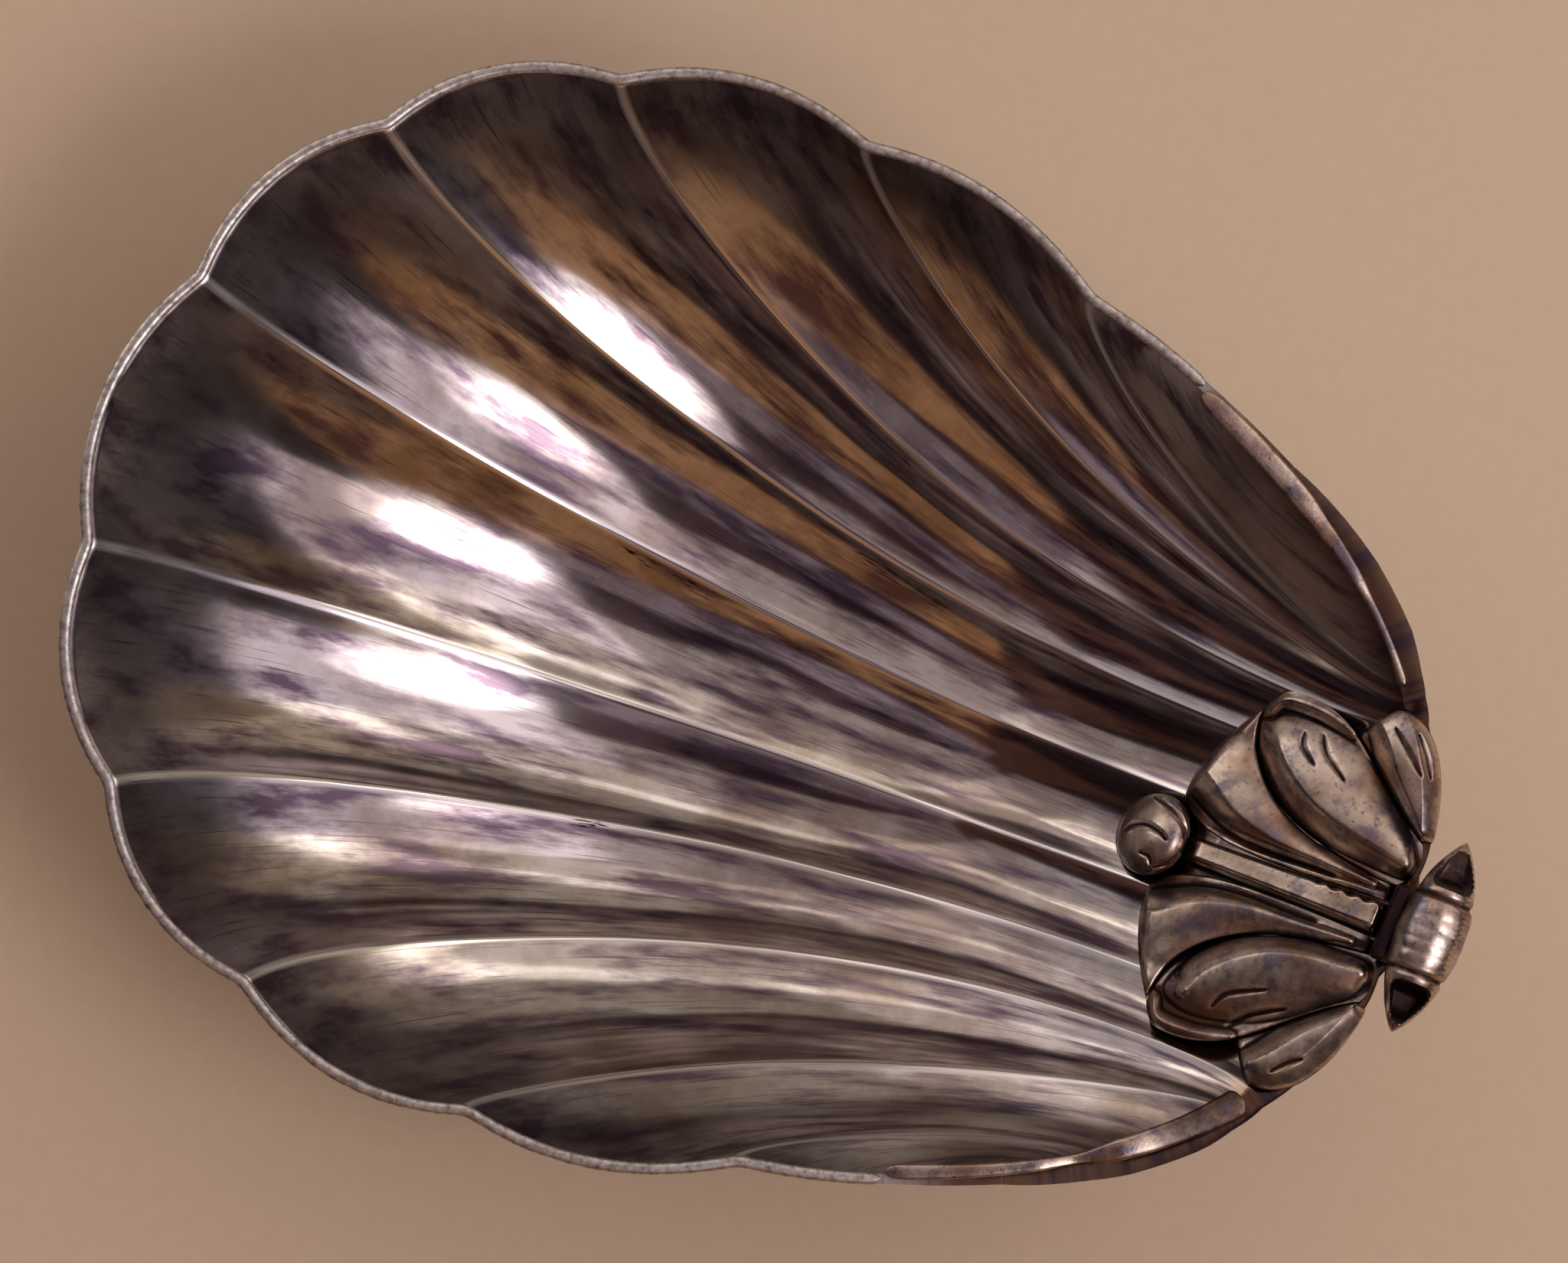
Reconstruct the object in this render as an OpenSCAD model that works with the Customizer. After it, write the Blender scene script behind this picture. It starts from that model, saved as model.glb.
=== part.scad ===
// Baptismal shell: a raised silver scallop bowl with a cast acanthus handle.
// Millimetres. +X runs from the pouring lip to the thumb scroll, +Z is up,
// and the origin lies under the middle of the overall box, on the table.

/* [Bowl] */
// Length of the bowl between the ridge ends at the lip and the back
bowl_length = 223; // [180:1:260]
// Width of the bowl across the ridge ends
bowl_width = 168; // [130:1:200]
// Height of the bowl's sheet edge above the table
bowl_height = 50; // [42:1:62]
// Thickness of the raised sheet
sheet = 1.6; // [1.2:0.1:2.2]
// Narrowing of the plan from the lip towards the handle
taper = 0.167; // [0.1:0.001:0.22]
// Fullness of the plan at both of its ends
fullness = 0.06; // [0:0.01:0.1]
// Straightening of the plan's sides towards the handle
waist_share = 0.04; // [0:0.005:0.05]
// Width of the turned-out margin beside the handle
ear_width = 2.4; // [1:0.1:3.5]
// Depth of the flat that the bowl stands on
foot_flat = 1; // [0.7:0.05:1.2]
// Thickness of the sheet over that flat
foot_sheet = 1; // [0.8:0.05:1.2]

/* [Flutes] */
// Flutes on each side of the middle one
side_flutes = 5; // [4:1:6]
// Angle of the middle flute at the lip
middle_flute = 26.5; // [22:0.5:30]
// Angle of each side flute along the rim
flute_pitch = 22.7; // [20:0.1:23]
// Extra spread of the ridges where they pass under the handle
back_spread = 0.18; // [0:0.01:0.3]
// Depth of a flute on the floor, as a share of its width
floor_hollow = 0.115; // [0.06:0.005:0.14]
// Depth of a flute at the rim, as a share of its width
rim_hollow = 0.08; // [0.04:0.005:0.12]

/* [Rim] */
// Height of the wire on the rim
wire_height = 1.4; // [0.8:0.1:2.4]
// How far the wire stands out past both sides of the sheet
wire_overhang = 0.2; // [0:0.05:0.5]
// Distance from the back of the bowl to the arms' rounded ends
arm_reach = 62; // [50:1:75]
// Width of a rim arm's flat bar
arm_width = 2.6; // [2:0.1:3.4]
// Height of a rim arm's flat bar
arm_height = 2; // [1.4:0.1:3]
// Gap between the wire's end and the arm
arm_gap = 0.8; // [0.3:0.1:1.5]
// Distance from the back of the bowl to the arms' thin ends
arm_finish_reach = 14; // [13:0.5:18]

/* [Handle] */
// Length of the cast leaf from its free edge to the neck
leaf_length = 36; // [30:0.5:42]
// Half the width of the cast leaf
leaf_half_width = 33; // [28:0.5:38]
// Distance from the back of the bowl to the leaf's neck end
leaf_setback = 2.7; // [2:0.1:5]
// Thickness of the leaf along its edges
leaf_edge = 2; // [1.2:0.1:3]
// Thickness of the hollow-backed castings at their middles
cast_wall = 2.4; // [1.6:0.1:3.2]
// Rise of the inner leaves above their edges
inner_rise = 2.6; // [1:0.1:4]
// Rise of the big lobes above their edges
lobe_rise = 5.5; // [3:0.1:8]
// Rise of the outer lobes above their edges
outer_rise = 4.2; // [2:0.1:7]
// Height of the midrib above the bowl
midrib_height = 5.6; // [4:0.1:8]
// Height of the crown on the midrib
midrib_crown = 1.1; // [0.4:0.1:2]
// Half the width of the midrib at the neck
midrib_half_width = 2.6; // [1.8:0.1:3]
// Half the width of the midrib at the bud
midrib_tip_half_width = 1.4; // [1:0.1:1.8]
// Distance from the leaf's free edge forward to the bud's middle
bud_overhang = 1.4; // [0:0.1:5]
// Length of the curled bud on the leaf's tip
bud_length = 11.2; // [9:0.1:15]
// Width of the curled bud
bud_width = 14.4; // [9:0.1:15]
// Height of the curled bud above the bowl
bud_height = 10; // [6:0.1:13]

/* [Thumb scroll] */
// Diameter of the scroll at its middle
scroll_diameter = 11.2; // [10:0.1:13]
// Length of the scroll from tip to tip
scroll_length = 33; // [26:0.5:40]
// Distance from the back of the bowl to the scroll's axis
scroll_reach = 5.2; // [5:0.1:8]
// Length of the scroll's reeded barrel
barrel_length = 14.4; // [11:0.1:17]
// Reeds round the barrel
reeds = 7; // [5:2:9]
// Depth of the reeds round the scroll's barrel
reed_depth = 0.5; // [0.2:0.1:0.8]
// Diameter of the hollow cup in each end of the scroll
cup_diameter = 7; // [5:0.1:8]
// Distance between the middles of the two cups
cup_spacing = 21.8; // [20:0.1:24]
// Height of the cups' middles above the scroll's axis
cup_height = 4.2; // [3.5:0.1:5]
// Width of the neck that carries the scroll
neck_width = 11; // [8:0.5:12]
// Height of the neck above the sheet edge
neck_height = 5; // [3:0.1:6]

/* [Fit] */
// Solder gap under the cast pieces
seat_gap = 0.2; // [0.1:0.05:0.3]
// Gap between the bud, the midrib and the neck
end_gap = 0.4; // [0.2:0.05:0.6]
// Gap left between neighbouring cast pieces, as a share of their width
groove = 0.03; // [0.01:0.005:0.06]

/* [Hidden] */

silver = "#b9b3ac";
cast_silver = "#a79c92";

half_l = bowl_length / 2;
half_w = bowl_width / 2;
scroll_r = scroll_diameter / 2;
rim_top = bowl_height;

// Shape of the bowl
fan_margin = 0.996;
flare = 0.165;
flare_power = 0.8;
fan_probe = 0.5;
floor_shift = 0.02;
floor_row = 0.5;
dish = 0.1;
wall_power = 2.3;
slope_start = 0.35;
slope_blend = 0.12;
probe = 0.004;
level_power = 8;
crest_round = 0.08;
outer_flute_share = 0.4;
waist_start = 0.35;
hollow_power = 4;
ear_start = 0.45;
ear_run = 0.3;
ear_end = 0.98;
ear_fade = 0.15;
ear_power = 14;

// Plan of the bowl. A unit disk carries the fan of flutes; the plan map turns
// its circle into the egg outline that runs through the ridge ends.
side_span = side_flutes * flute_pitch;
fan_half = middle_flute / 2 + side_span;
back_share = (180 - fan_half) / fan_half;
fan_limit = fan_half * fan_margin;
lip_bulge = flute_depth(0, 0);
front_reach = half_l + lip_bulge + sheet + wire_overhang;
back_reach = half_l + scroll_reach + scroll_r;
mid_x = (front_reach - back_reach) / 2;
back_x = mid_x + half_l;

function waist(e) = pow(sin(180 * max(0, min(1, (e + waist_start) / (1 + waist_start)))), 2);

function plan_half_width(e) =
    half_w * (1 - taper * e + fullness * e * e - waist_share * waist(e));

function egg(p) = [half_l * p.x, p.y * plan_half_width(p.x)];

function disk_to_plan(p) = [mid_x, 0] + egg(p);

function plan_to_disk(q) =
    let (e = (q.x - mid_x) / half_l)
    [e, q.y / plan_half_width(e)];

// Depth of the bowl. The radius runs from 0 at the lowest point of the floor
// to 1 all round the rim. The wall curves up steadily at the lip and the sides,
// and towards the handle a level floor turns into a straight slope.
function depth_radius(p) =
    let (q = p - [floor_shift, 0])
    let (along = q.x * floor_shift)
    let (rest = 1 - floor_shift * floor_shift)
    (along + sqrt(along * along + rest * (q * q))) / rest;

function backward(p) =
    let (q = p - [floor_shift, 0])
    q.x <= 0 ? 0 : q.x * q.x / (q * q);

function slope(r) = r - slope_start + norm([r - slope_start, slope_blend]);

function rise_share(p) =
    let (r = depth_radius(p))
    let (wall = dish * r * r + (1 - dish) * pow(r, wall_power))
    let (back_wall = (slope(r) - slope(0)) / (slope(1) - slope(0)))
    wall + (back_wall - wall) * backward(p);

floor_z = sheet + flute_depth(floor_row, 0) - foot_flat;

function ridge_height(p) = floor_z + (rim_top - floor_z) * rise_share(p);

function ridge_point(p) =
    let (q = disk_to_plan(p))
    [q.x, q.y, ridge_height(p)];

// Direction in which the sheet is pushed out: square to the bowl on the
// floor, and level at the rim so that the sheet's edge stays flat.
function out_direction(p) =
    let (du = ridge_point(p + [probe, 0]) - ridge_point(p - [probe, 0]))
    let (dv = ridge_point(p + [0, probe]) - ridge_point(p - [0, probe]))
    let (up = cross(du, dv) / norm(cross(du, dv)))
    let (level = pow(min(1, depth_radius(p)), level_power))
    let (out = -[up.x, up.y, up.z * (1 - level)])
    out / norm(out);

// Fan lines. Each runs from the front rim (u = 0) to the back rim (u = 1) and
// leaves both of them square, so it bends near the rim and is straight between.
function front_weight(u, leg) = pow(1 - u, 3) + 3 * u * pow(1 - u, 2) * (1 - leg);

function back_weight(u, leg) = pow(u, 3) + 3 * u * u * (1 - u) * (1 - leg);

function back_angle(angle) =
    back_share * angle * (1 + back_spread * (1 - pow(angle / fan_half, 2)));

function fan_point(u, angle) =
    let (front = [-cos(angle), sin(angle)])
    let (back = [cos(back_angle(angle)), sin(back_angle(angle))])
    let (leg = flare * pow(norm(front - back), flare_power))
    front_weight(u, leg) * front + back_weight(u, leg) * back;

// Flutes. A flute is a shallow trough between two ridges, with rounded crests.
function flute_width(u, angle) =
    let (pitch = abs(angle) < middle_flute / 2 ? middle_flute : flute_pitch)
    let (one = egg(fan_point(u, angle - fan_probe)))
    let (other = egg(fan_point(u, angle + fan_probe)))
    norm(other - one) * pitch / (2 * fan_probe);

function flute_place(angle) =
    let (past = abs(angle) - middle_flute / 2)
    let (count = past / flute_pitch)
    past <= 0 ? abs(angle) / middle_flute + 0.5 : count - floor(count);

function trough(place) =
    let (fall = 1 - pow(2 * place - 1, 2))
    sqrt(fall * fall + crest_round * crest_round) - crest_round;

function flute_depth(u, angle) =
    let (last = abs(angle) > fan_half - flute_pitch)
    let (r = min(1, depth_radius(fan_point(u, angle))))
    let (hollow = floor_hollow + (rim_hollow - floor_hollow) * pow(r, hollow_power))
    let (share = last ? outer_flute_share : 1)
    flute_width(u, angle) * hollow * share * trough(flute_place(angle));

// The margin turns outwards on both sides of the handle, up to the cast leaf.
function ear_push(p) =
    let (part = max(0, min(1, (p.x - ear_start) / ear_run, (ear_end - p.x) / ear_fade)))
    ear_width * part * pow(min(1, depth_radius(p)), ear_power);

// Both sides of the sheet are hammered level where the bowl stands.
function pushed_point(u, angle, wall) =
    let (p = fan_point(u, angle))
    ridge_point(p) + (flute_depth(u, angle) + wall) * out_direction(p);

function lifted(q, level) = [q.x, q.y, max(level, q.z)];

function inner_point(u, angle) = lifted(pushed_point(u, angle, 0), foot_sheet);

function outer_point(u, angle) =
    let (wall = sheet + ear_push(fan_point(u, angle)))
    lifted(pushed_point(u, angle, wall), 0);

// Solids from grids. Both grids have the same rows and columns, rows towards
// +X and columns towards +Y, and a skirt closes them along their borders.
function grid_faces(rows, cols, start, turned) = [
    for (i = [0:rows - 2], j = [0:cols - 2])
        let (a = start + i * cols + j)
        let (b = a + 1)
        let (c = a + cols)
        let (d = c + 1)
        each turned ? [[a, c, b], [b, c, d]] : [[a, b, c], [b, d, c]]
];

function border(rows, cols) = concat(
    [for (i = [0:rows - 1]) i * cols],
    [for (j = [1:cols - 1]) (rows - 1) * cols + j],
    [for (i = [rows - 2:-1:0]) i * cols + cols - 1],
    [for (j = [cols - 2:-1:1]) j]
);

function skirt_faces(rows, cols) =
    let (loop = border(rows, cols))
    let (count = len(loop))
    let (under = rows * cols)
    [
        for (i = [0:count - 1])
            let (a = loop[i])
            let (b = loop[(i + 1) % count])
            each [[a, b, b + under], [a, b + under, a + under]]
    ];

module slab(upper, lower, rows, cols) {
    polyhedron(
        points = concat(upper, lower),
        faces = concat(
            grid_faces(rows, cols, 0, false),
            skirt_faces(rows, cols),
            grid_faces(rows, cols, rows * cols, true)
        ),
        convexity = 8
    );
}

// A bar through closed rings of points, with a cap on each end.
module swept(rings) {
    sides = len(rings[0]);
    last = (len(rings) - 1) * sides;
    walls = [
        for (i = [0:len(rings) - 2], j = [0:sides - 1])
            let (a = i * sides + j)
            let (b = i * sides + (j + 1) % sides)
            each [[a, b, a + sides], [b, b + sides, a + sides]]
    ];
    polyhedron(
        points = [for (ring = rings) each ring],
        faces = concat(
            walls,
            [[for (j = [sides - 1:-1:0]) j]],
            [[for (j = [0:sides - 1]) last + j]]
        ),
        convexity = 8
    );
}

// Bowl
bowl_rows = 29;
flute_stops = [0, 0.08, 0.27, 0.5, 0.73, 0.92];

ridge_angles = concat(
    [for (k = [side_flutes:-1:0]) -(middle_flute / 2 + k * flute_pitch)],
    [for (k = [0:side_flutes]) middle_flute / 2 + k * flute_pitch]
);

function inside_fan(angle) = max(-fan_limit, min(fan_limit, angle));

columns = concat(
    [
        for (k = [0:len(ridge_angles) - 2], stop = flute_stops)
            inside_fan(ridge_angles[k] + stop * (ridge_angles[k + 1] - ridge_angles[k]))
    ],
    [fan_limit]
);

module shell_bowl() {
    steps = [for (i = [0:bowl_rows - 1]) i / (bowl_rows - 1)];
    color(silver)
        slab(
            [for (u = steps, angle = columns) inner_point(u, angle)],
            [for (u = steps, angle = columns) outer_point(u, angle)],
            bowl_rows,
            len(columns)
        );
}

// Rim. The wire lies on the sheet's edge from one arm round the lip to the other.
function rim_angle(distance_from_back) = 180 - acos(1 - distance_from_back / half_l);

arm_start = rim_angle(arm_reach);
wire_end = rim_angle(arm_reach + arm_gap);
wire_columns = concat(
    [-wire_end],
    [for (angle = columns) if (abs(angle) < wire_end - fan_probe) angle],
    [wire_end]
);

// Ring of a flat bar with rounded upper corners, standing on the sheet's edge.
shoulder_share = 0.6;
corner_share = 0.2;

function bar_ring(inside, outside, height) =
    let (across = outside - inside)
    let (up = [0, 0, height])
    [
        inside,
        inside + shoulder_share * up,
        inside + corner_share * across + up,
        outside - corner_share * across + up,
        outside + shoulder_share * up,
        outside
    ];

function level_unit(v) = [v.x, v.y, 0] / norm([v.x, v.y, 0]);

function wire_ring(angle) =
    let (inside = inner_point(0, angle))
    let (outside = outer_point(0, angle))
    let (over = wire_overhang * level_unit(outside - inside))
    bar_ring(inside - over, outside + over, wire_height);

module rim_wire() {
    color(silver)
        swept([for (angle = wire_columns) wire_ring(angle)]);
}

// Arms. Each starts as a flat bar with a rounded end, dips in an S, swells to
// a knuckle and runs out as a thin edge to the leaf.
arm_steps = 30;
arm_stations = [0, 0.05, 0.4, 0.5, 0.62, 0.74, 1];
arm_widths = [0.45, 1, 1, 0.62, 1.1, 0.55, 0.45];
arm_heights = [0.5, 1, 1, 0.45, 1.05, 0.5, 0.4];

function rim_point(angle) =
    let (q = disk_to_plan([-cos(angle), sin(angle)]))
    [q.x, q.y, rim_top];

function rim_outward(angle) =
    let (run = rim_point(angle + fan_probe) - rim_point(angle - fan_probe))
    level_unit([-run.y, run.x, 0]);

function arm_ring(share) =
    let (finish = rim_angle(arm_finish_reach))
    let (angle = arm_start + share * (finish - arm_start))
    let (wide = arm_width * lookup(share, pairs(arm_stations, arm_widths)))
    let (high = arm_height * lookup(share, pairs(arm_stations, arm_heights)))
    let (middle = rim_point(angle) + (sheet / 2) * rim_outward(angle))
    let (side = wide / 2 * rim_outward(angle))
    bar_ring(middle - side, middle + side, high);

function pairs(keys, values) = [for (i = [0:len(keys) - 1]) [keys[i], values[i]]];

module rim_arm() {
    color(cast_silver)
        swept([for (i = [0:arm_steps]) arm_ring(i / arm_steps)]);
}

module left_rim_arm() {
    rim_arm();
}

module right_rim_arm() {
    mirror([0, 1, 0]) rim_arm();
}

// Cast leaf. Every piece is a pad between four curved edges in plan. Its seat
// follows the bowl's ridges, or lies level where it is past the rim, and its
// back is hollow where it swells.
function bezier(c, t) =
    pow(1 - t, 3) * c[0] + 3 * t * pow(1 - t, 2) * c[1]
    + 3 * t * t * (1 - t) * c[2] + pow(t, 3) * c[3];

// The later part of a curve, from t on.
function curve_tail(c, t) =
    let (ab = c[0] + t * (c[1] - c[0]))
    let (bc = c[1] + t * (c[2] - c[1]))
    let (cd = c[2] + t * (c[3] - c[2]))
    let (abc = ab + t * (bc - ab))
    let (bcd = bc + t * (cd - bc))
    [abc + t * (bcd - abc), bcd, cd, c[3]];

function straight(a, b) = [a, a + (b - a) / 3, a + 2 * (b - a) / 3, b];

// Point of the patch between edges low and high, closed by start and finish.
function patch_point(low, high, start, finish, s, v) =
    (1 - v) * bezier(low, s) + v * bezier(high, s)
    + (1 - s) * bezier(start, v) + s * bezier(finish, v)
    - (1 - s) * (1 - v) * low[0] - s * (1 - v) * low[3]
    - (1 - s) * v * high[0] - s * v * high[3];

function seat_height(q) =
    let (p = plan_to_disk(q))
    (norm(p) >= 1 ? rim_top : ridge_height(p)) + seat_gap;

// A pad swells from its edges to its middle. It starts a little full at the
// free end and closes towards the neck.
swell_power = 0.6;
swell_start = 0.08;
swell_run = 0.85;

function swelling(s, v) =
    pow(sin(180 * v) * sin(180 * (swell_start + swell_run * s)), swell_power);

module pad(low, high, start, finish, edge, rise, wall, rows, cols) {
    shares = [
        for (i = [0:rows - 1], j = [0:cols - 1])
            [i / (rows - 1), groove + (1 - 2 * groove) * j / (cols - 1)]
    ];
    plan = [for (sv = shares) patch_point(low, high, start, finish, sv[0], sv[1])];
    seat = [for (q = plan) [q.x, q.y, seat_height(q)]];
    height = [for (sv = shares) edge + rise * swelling(sv[0], sv[1])];
    upper = [for (k = [0:len(seat) - 1]) seat[k] + [0, 0, height[k]]];
    under = [for (k = [0:len(seat) - 1]) seat[k] + [0, 0, max(0, height[k] - wall)]];
    slab(upper, under, rows, cols);
}

// Place on the leaf: shares of its length from the neck end and of its half width.
function leaf_place(along, across) =
    [back_x - leaf_setback - along * leaf_length, across * leaf_half_width];

// Edges that neighbouring pieces share
inner_edge_low = [
    leaf_place(0.97, 0.25), leaf_place(0.9, 0.067),
    leaf_place(0.61, 0.05), leaf_place(0, 0.095)
];
inner_to_big = [
    leaf_place(0.8, 0.8), leaf_place(0.79, 0.47),
    leaf_place(0.585, 0.24), leaf_place(0, 0.18)
];
big_to_outer = [
    leaf_place(0.72, 0.91), leaf_place(0.39, 0.97),
    leaf_place(0.24, 0.62), leaf_place(-0.04, 0.43)
];
outer_start_share = 0.42;
outer_to_big = curve_tail(big_to_outer, outer_start_share);
outer_edge_high = [
    leaf_place(0.27, 1), leaf_place(0.07, 1.045),
    leaf_place(-0.07, 0.74), leaf_place(-0.09, 0.44)
];
inner_free_edge = [
    inner_edge_low[0], leaf_place(0.98, 0.44),
    leaf_place(0.9, 0.62), inner_to_big[0]
];
big_free_edge = [
    inner_to_big[0], leaf_place(0.785, 0.85),
    leaf_place(0.76, 0.9), big_to_outer[0]
];
big_neck_edge = [
    inner_to_big[3], leaf_place(-0.07, 0.22),
    leaf_place(-0.1, 0.36), big_to_outer[3]
];
outer_free_edge = [
    outer_to_big[0], leaf_place(0.36, 0.88),
    leaf_place(0.32, 0.95), outer_edge_high[0]
];

module inner_leaf() {
    color(cast_silver)
        pad(
            inner_edge_low, inner_to_big, inner_free_edge,
            straight(inner_edge_low[3], inner_to_big[3]),
            edge = leaf_edge, rise = inner_rise, wall = cast_wall, rows = 15, cols = 11
        );
}

module left_inner_leaf() {
    inner_leaf();
}

module right_inner_leaf() {
    mirror([0, 1, 0]) inner_leaf();
}

module big_lobe() {
    color(cast_silver)
        pad(
            inner_to_big, big_to_outer, big_free_edge, big_neck_edge,
            edge = leaf_edge, rise = lobe_rise, wall = cast_wall, rows = 17, cols = 11
        );
}

module left_big_lobe() {
    big_lobe();
}

module right_big_lobe() {
    mirror([0, 1, 0]) big_lobe();
}

module outer_lobe() {
    color(cast_silver)
        pad(
            outer_to_big, outer_edge_high, outer_free_edge,
            straight(outer_to_big[3], outer_edge_high[3]),
            edge = leaf_edge, rise = outer_rise, wall = cast_wall, rows = 13, cols = 9
        );
}

module left_outer_lobe() {
    outer_lobe();
}

module right_outer_lobe() {
    mirror([0, 1, 0]) outer_lobe();
}

// Bud: the leaf's tip, curled over on itself, on the slope of the floor.
bud_x = leaf_place(1, 0).x - bud_overhang;
midrib_tip_x = bud_x + bud_length / 2 + end_gap;

function arc_edge(middle, radii, from, to) =
    let (reach = 4 / 3 * tan((to - from) / 4))
    let (a = [radii.x * cos(from), radii.y * sin(from)])
    let (b = [radii.x * cos(to), radii.y * sin(to)])
    let (da = [-radii.x * sin(from), radii.y * cos(from)])
    let (db = [-radii.x * sin(to), radii.y * cos(to)])
    [middle + a, middle + a + reach * da, middle + b - reach * db, middle + b];

module curled_bud() {
    middle = [bud_x, 0];
    radii = [bud_length, bud_width] / 2;
    color(cast_silver)
        pad(
            arc_edge(middle, radii, -135, -45), arc_edge(middle, radii, 135, 45),
            arc_edge(middle, radii, 225, 135), arc_edge(middle, radii, -45, 45),
            edge = leaf_edge, rise = bud_height - leaf_edge, wall = cast_wall,
            rows = 13, cols = 13
        );
}

// Midrib: a bar up the middle of the leaf, wider towards the neck.
module midrib() {
    end_x = leaf_place(0, 0).x;
    low = straight([midrib_tip_x, -midrib_tip_half_width], [end_x, -midrib_half_width]);
    high = straight([midrib_tip_x, midrib_tip_half_width], [end_x, midrib_half_width]);
    color(cast_silver)
        pad(
            low, high, straight(low[0], high[0]), straight(low[3], high[3]),
            edge = midrib_height - midrib_crown, rise = midrib_crown, wall = midrib_height,
            rows = 15, cols = 7
        );
}

// Scroll: a spindle across the handle with a reeded barrel and two thumb cups.
scroll_x = back_x + scroll_reach;
scroll_z = rim_top + seat_gap + scroll_r;
reed_width = barrel_length / (reeds - 1);
tip_share = 0.1;
spindle_steps = 44;

function spindle_radius(y) =
    let (share = abs(y) / (scroll_length / 2))
    let (body = scroll_r * (tip_share + (1 - tip_share) * sqrt(max(0, 1 - share * share))))
    let (reed = abs(y) < barrel_length / 2 ? pow(cos(180 * y / reed_width), 2) : 1)
    body - reed_depth * (1 - reed);

module spindle() {
    ys = [for (i = [0:spindle_steps]) (i / spindle_steps - 0.5) * scroll_length];
    rotate([-90, 0, 0])
        rotate_extrude($fn = 72)
            polygon(concat(
                [[0, ys[0]]],
                [for (y = ys) [spindle_radius(y), y]],
                [[0, ys[spindle_steps]]]
            ));
}

module thumb_scroll() {
    color(cast_silver)
        translate([scroll_x, 0, scroll_z])
            difference() {
                spindle();
                for (side = [-1, 1])
                    translate([0, side * cup_spacing / 2, cup_height])
                        sphere(d = cup_diameter, $fn = 48);
            }
}

// Neck: a saddle on the back edge of the bowl, hollowed to carry the scroll.
saddle_r = scroll_r + seat_gap;

module scroll_neck() {
    neck_x = leaf_place(0, 0).x + end_gap;
    color(cast_silver)
        difference() {
            translate([neck_x, -neck_width / 2, rim_top + seat_gap])
                cube([scroll_x - neck_x, neck_width, neck_height]);
            translate([scroll_x, 0, scroll_z])
                rotate([90, 0, 0])
                    cylinder(r = saddle_r, h = neck_width + 2, center = true, $fn = 72);
        }
}

shell_bowl();
rim_wire();
left_rim_arm();
right_rim_arm();
midrib();
curled_bud();
left_inner_leaf();
right_inner_leaf();
left_big_lobe();
right_big_lobe();
left_outer_lobe();
right_outer_lobe();
scroll_neck();
thumb_scroll();
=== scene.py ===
# %% [markdown]
# # A silver baptismal shell
#
# This lesson dresses a scallop-shaped silver bowl. A silversmith raised the bowl from one sheet,
# soldered a narrow band to its rim and cast the acanthus leaf that serves as its handle. Every piece
# below is fitted to a frame that already holds the real sizes, so nothing is moved or scaled here.

# %% The frame
import math

import bpy
import numpy as np
from mathutils import Matrix, Vector, noise


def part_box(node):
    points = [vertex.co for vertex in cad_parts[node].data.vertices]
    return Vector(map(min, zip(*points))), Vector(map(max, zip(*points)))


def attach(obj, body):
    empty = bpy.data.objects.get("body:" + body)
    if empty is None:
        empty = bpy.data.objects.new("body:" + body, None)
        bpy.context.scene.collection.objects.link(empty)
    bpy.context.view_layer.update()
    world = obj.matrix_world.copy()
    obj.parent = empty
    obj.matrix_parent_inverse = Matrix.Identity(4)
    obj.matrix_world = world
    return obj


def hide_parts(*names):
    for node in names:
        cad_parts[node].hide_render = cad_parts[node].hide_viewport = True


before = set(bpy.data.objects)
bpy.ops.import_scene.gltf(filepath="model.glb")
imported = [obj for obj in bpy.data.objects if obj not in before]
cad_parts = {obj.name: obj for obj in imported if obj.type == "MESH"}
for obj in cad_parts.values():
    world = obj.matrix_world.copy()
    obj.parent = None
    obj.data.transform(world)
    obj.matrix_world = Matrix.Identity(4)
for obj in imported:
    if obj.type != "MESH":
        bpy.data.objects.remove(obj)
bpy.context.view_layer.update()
bpy.context.scene.view_settings.view_transform = "Standard"
MM = 0.001
print("pieces in the frame:", len(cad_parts))

# %% [markdown]
# ## Camera
#
# The bowl is seen from almost straight above, turned so that its long axis runs down to the right.
# A camera could be turned by hand until it fits. Here it is worked out: the place above the rim, the
# point it looks at, and the turn of the picture give its three axes directly.

# %% Camera
RIM_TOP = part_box("shell_bowl")[1].z / MM
PICTURE_WIDTH = 2048
SENSOR_WIDTH = 36
PIXELS_PER_MM = 8
CAMERA_PLACE = Vector((1.5, -45, RIM_TOP + 800))
CAMERA_AIM = Vector((-1.6, 6.3, RIM_TOP))
PICTURE_TURN = math.radians(22.4)

camera_data = bpy.data.cameras.new("camera")
camera_data.sensor_width = SENSOR_WIDTH
camera_distance = (CAMERA_PLACE - CAMERA_AIM).length
camera_data.lens = PIXELS_PER_MM * camera_distance * SENSOR_WIDTH / PICTURE_WIDTH
camera = bpy.data.objects.new("camera", camera_data)
bpy.context.collection.objects.link(camera)
backward_axis = (CAMERA_PLACE - CAMERA_AIM).normalized()
picture_up = Vector((-math.sin(PICTURE_TURN), math.cos(PICTURE_TURN), 0))
right_axis = picture_up.cross(backward_axis).normalized()
up_axis = backward_axis.cross(right_axis)
turn = Matrix((right_axis, up_axis, backward_axis)).transposed().to_4x4()
camera.matrix_world = Matrix.Translation(CAMERA_PLACE * MM) @ turn
bpy.context.scene.camera = camera
print("lens", round(camera_data.lens, 1), "mm")

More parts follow.
